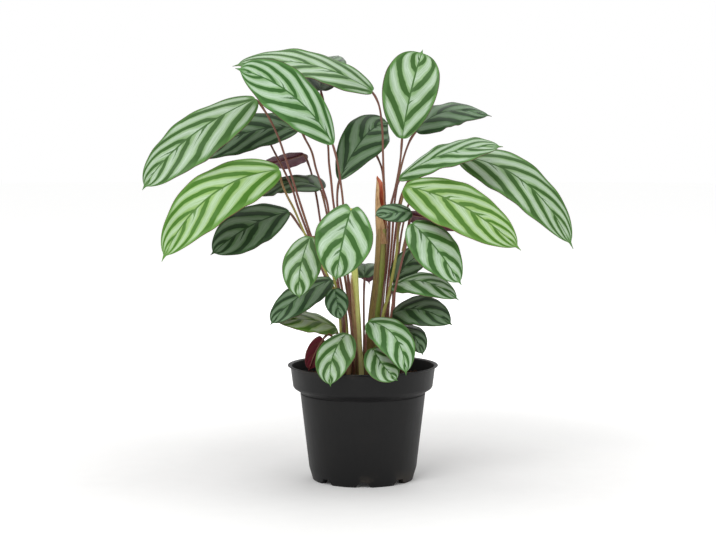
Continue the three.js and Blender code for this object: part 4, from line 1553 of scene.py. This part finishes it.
class Calathea:
    """The whole plant in its pot."""

    def __init__(self, dresser: Dresser) -> None:
        """Give every leaf its own seed, spread evenly through the plant."""
        self.dresser = dresser
        golden = (math.sqrt(5) - 1) / 2
        self.leaves = {
            name: Leaf(f"blade_{name}", blade, seed=(index * golden + 0.1) % 1)
            for index, (name, blade) in enumerate(BLADES.items())
        }

    def settle(self, piece: bpy.types.Object, slot: str, *nodes: str) -> None:
        """Tie a piece to the frame and report it."""
        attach(piece, "root")
        if nodes:
            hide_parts(*nodes)
        log.info("%s: %d faces, stands for %s", piece.name, len(piece.data.polygons), nodes or "itself")

    def build_pot(self) -> None:
        """Build the pot and its soil."""
        pot = NurseryPot()
        self.settle(pot.build(self.dresser), "pot_plastic", "pot")
        soil, clods, fibres = PottingSoil(pot).build(self.dresser)
        self.settle(soil, "soil_earth", "soil")
        self.settle(clods, "soil_earth")
        self.settle(fibres, "soil_earth")

    def build_leaves(self) -> None:
        """Build every blade, with its own short stalk where it has one."""
        for name, leaf in self.leaves.items():
            piece = leaf.build(self.dresser)
            if name in SHORT_STALKS:
                rod = StalkRod(f"short_{name}", SHORT_STALKS[name], StalkTone.MAROON, leaf, radius=1.4)
                piece = join(f"leaf_and_stalk_{name}", [piece, rod.build(self.dresser)])
            self.settle(piece, leaf.blade.tone.value, f"leaf_{name}")

    def build_stalks(self) -> None:
        """Build the long stalks."""
        for name, stalk in STALKS.items():
            rod = StalkRod(f"petiole_{name}", stalk.path, stalk.tone, self.leaves[name], radius=stalk.radius)
            self.settle(rod.build(self.dresser), stalk.tone.value, f"stalk_{name}")

    def build_left_shoot(self) -> None:
        """Build the pale shoot that carries the heart leaf, and the dry sheath on its left."""
        rod = StalkRod(
            "pale_shoot", LEFT_SHOOT, StalkTone.PALE, self.leaves["heart"], radius=5.3,
            top_radius=2.3, foot_spread=0.1, bow=0.2, sides=24,
        )
        self.settle(rod.build(self.dresser), "shoot_pale", "shoot_left")
        wrap = Wrap(
            "pale_shoot_sheath", LEFT_SHOOT[:4], radius=6.0, top_radius=4.9, facing=1.15,
            spread=1.1, top_spread=0.7, seed=0.37, point_share=0.3,
        )
        papery = self.dresser.stalk[StalkTone.PAPERY]
        self.settle(wrap.build(papery, self.dresser.sheath_inside), "shoot_papery")

    def build_right_shoot(self) -> None:
        """Build the wrapped shoot: a green core, overlapping sheaths and the open papery one."""
        spine = Spine.through(RIGHT_SHOOT, 3.0)
        count = len(spine.stations) - 1

        def place(u: float, v: float) -> tuple[Vector, tuple[float, float]]:
            """Put one point of the grid on the core's skin."""
            angle = v * math.tau
            radius = CORE_FOOT_RADIUS + (CORE_TOP_RADIUS - CORE_FOOT_RADIUS) * u
            radius *= 1 + 0.03 * math.sin(6 * angle + u * 4)
            return spine.point(u, angle, radius), (u, v)

        core = bent_grid("wrapped_shoot", (count, 36), place)
        close_tube(core)
        smooth_shade(core, 60.0)
        core.data.materials.append(self.dresser.core)
        mark(core, seed=0.61)
        self.settle(core, "shoot_papery", "shoot_right")
        papery, maroon = self.dresser.stalk[StalkTone.PAPERY], self.dresser.stalk[StalkTone.MAROON]
        inside, olive = self.dresser.sheath_inside, self.dresser.olive
        wraps = (
            (Wrap(
                "shoot_sheath_left", RIGHT_SHOOT, 8.7, 6.4, facing=1.25, spread=1.35,
                top_spread=0.95, seed=0.13,
            ), olive),
            (Wrap(
                "shoot_sheath_right", RIGHT_SHOOT, 8.5, 6.3, facing=-1.55, spread=0.85,
                top_spread=0.7, seed=0.52,
            ), maroon),
            (Wrap(
                "shoot_sheath_back", RIGHT_SHOOT, 8.6, 6.2, facing=3.1, spread=0.9,
                top_spread=0.8, seed=0.77,
            ), olive),
            (Wrap(
                "papery_sheath", SHEATH, 6.4, 3.9, facing=2.15, spread=3.0, top_spread=1.5,
                seed=0.29, flare=0.6, point_share=0.1,
            ), papery),
        )
        for wrap, outside in wraps:
            self.settle(wrap.build(outside, inside), "shoot_papery")

    def build_old_sheaths(self) -> None:
        """Wrap the feet of some stalks in the dry sheaths of older leaves."""
        feet = (
            ("far_left", 0.6, 152), ("left_shaded", 0.2, 146), ("crown_front", -0.2, 150),
            ("left_bright", 0.5, 158), ("right_inner", -0.7, 150), ("upper_right", 0.1, 155),
            ("crown_rear", 2.8, 150), ("rear_right", -2.4, 148), ("left_hanging", 0.2, 140),
        )
        for index, (name, facing, top) in enumerate(feet):
            foot, head = (Vector(point) for point in STALKS[name].path[:2])
            lean = (head - foot) / (head - foot).z
            line = tuple(tuple(foot + lean * (z - foot.z)) for z in (110, 122, 134, top))
            wrap = Wrap(
                f"old_sheath_{index + 1}", line, radius=3.3, top_radius=2.5, facing=facing,
                spread=1.9, top_spread=0.9, seed=0.1 * index, point_share=0.4, thickness=0.35,
                flare=0.8, steps=(24, 14),
            )
            piece = wrap.build(self.dresser.stalk[StalkTone.PAPERY], self.dresser.sheath_inside)
            self.settle(piece, "shoot_papery")

    def build(self) -> None:
        """Build the plant from the pot up."""
        self.build_pot()
        self.build_stalks()
        self.build_leaves()
        self.build_left_shoot()
        self.build_right_shoot()
        self.build_old_sheaths()


@dataclass(frozen=True)
class SoftLight:
    """One soft lamp: where it hangs and its size, in metres, and its power in watts."""

    name: str
    place: Point
    size: float
    power: float


LAMPS = (
    SoftLight("key", (-0.9, -1.8, 1.9), 1.4, 32.0),
    SoftLight("fill", (1.6, -1.5, 1.1), 1.4, 9.0),
    SoftLight("top", (0.1, 0.2, 2.3), 1.8, 17.0),
    SoftLight("back", (0.4, 1.9, 1.4), 1.4, 8.0),
)
LAMP_TARGET: Point = (0, 0, 0.25)


def aim_at(thing: bpy.types.Object, target: Point) -> None:
    """Turn a lamp or a camera to look at a point."""
    aim = Vector(target) - Vector(thing.location)
    thing.rotation_euler = aim.to_track_quat("-Z", "Y").to_euler()


@dataclass
class Studio:
    """A pale sweep of floor, soft lights, and the camera in front of the plant."""

    floor_radius: float = 12.0
    air_light: float = 0.42
    lens: float = 85.0
    sensor_width: float = 36.0
    camera_place: Point = (-0.005, -1.9, 0.390)
    camera_target: Point = (-0.0055, 0.0, 0.237)

    def build_floor(self) -> None:
        """Make the round floor of white paper, which brightens evenly towards its far edge."""
        deselect_all()
        bpy.ops.mesh.primitive_circle_add(vertices=96, radius=self.floor_radius, fill_type="TRIFAN")
        floor = bpy.context.active_object
        floor.name = "studio_floor"
        material, graph, shader = new_material("studio_paper", 0.9, 0.1)
        place = graph.place()
        x, y, _ = graph.parts(place)
        squares = graph.math("ADD", graph.math("MULTIPLY", x, x), graph.math("MULTIPLY", y, y))
        out = graph.math("SQRT", squares)
        paper = graph.mix(graph.clouds(place, 40.0), paint(244, 244, 243), paint(248, 248, 247))
        graph.put(shader["Base Color"], paper)
        glow = graph.mix(graph.rise(out, 0.1, 1.3), (0.02, 0.02, 0.02, 1.0), (0.6, 0.6, 0.6, 1.0))
        graph.put(shader["Emission Color"], glow)
        shader["Emission Strength"].default_value = 1.0
        floor.data.materials.append(material)

    def build_lights(self) -> None:
        """Hang the soft lights and set the pale surroundings."""
        world = bpy.data.worlds.new("studio_air")
        world.use_nodes = True
        graph = Graph(world.node_tree)
        air = world.node_tree.nodes["Background"].inputs
        air["Color"].default_value = (1.0, 1.0, 1.0, 1.0)
        seen = graph.add("ShaderNodeLightPath").outputs["Is Camera Ray"]
        graph.put(air["Strength"], graph.span(seen, self.air_light, 1.0))
        bpy.context.scene.world = world
        for lamp in LAMPS:
            deselect_all()
            bpy.ops.object.light_add(type="AREA", location=lamp.place)
            light = bpy.context.active_object
            light.name = f"{lamp.name}_light"
            light.data.energy = lamp.power
            light.data.size = lamp.size
            aim_at(light, LAMP_TARGET)

    def build_camera(self) -> None:
        """Stand the camera in front of the plant."""
        deselect_all()
        bpy.ops.object.camera_add(location=self.camera_place)
        camera = bpy.context.active_object
        camera.name = "front_camera"
        camera.data.lens = self.lens
        camera.data.sensor_width = self.sensor_width
        aim_at(camera, self.camera_target)
        bpy.context.scene.camera = camera

    def build(self) -> None:
        """Set up the studio."""
        self.build_camera()
        self.build_floor()
        self.build_lights()
        bpy.context.scene.view_settings.view_transform = "Standard"


def main() -> None:
    """Build the studio and the plant."""
    logging.basicConfig(level=logging.INFO, format="%(message)s")
    Studio().build()
    Calathea(Dresser()).build()


if __name__ == "__main__":
    main()
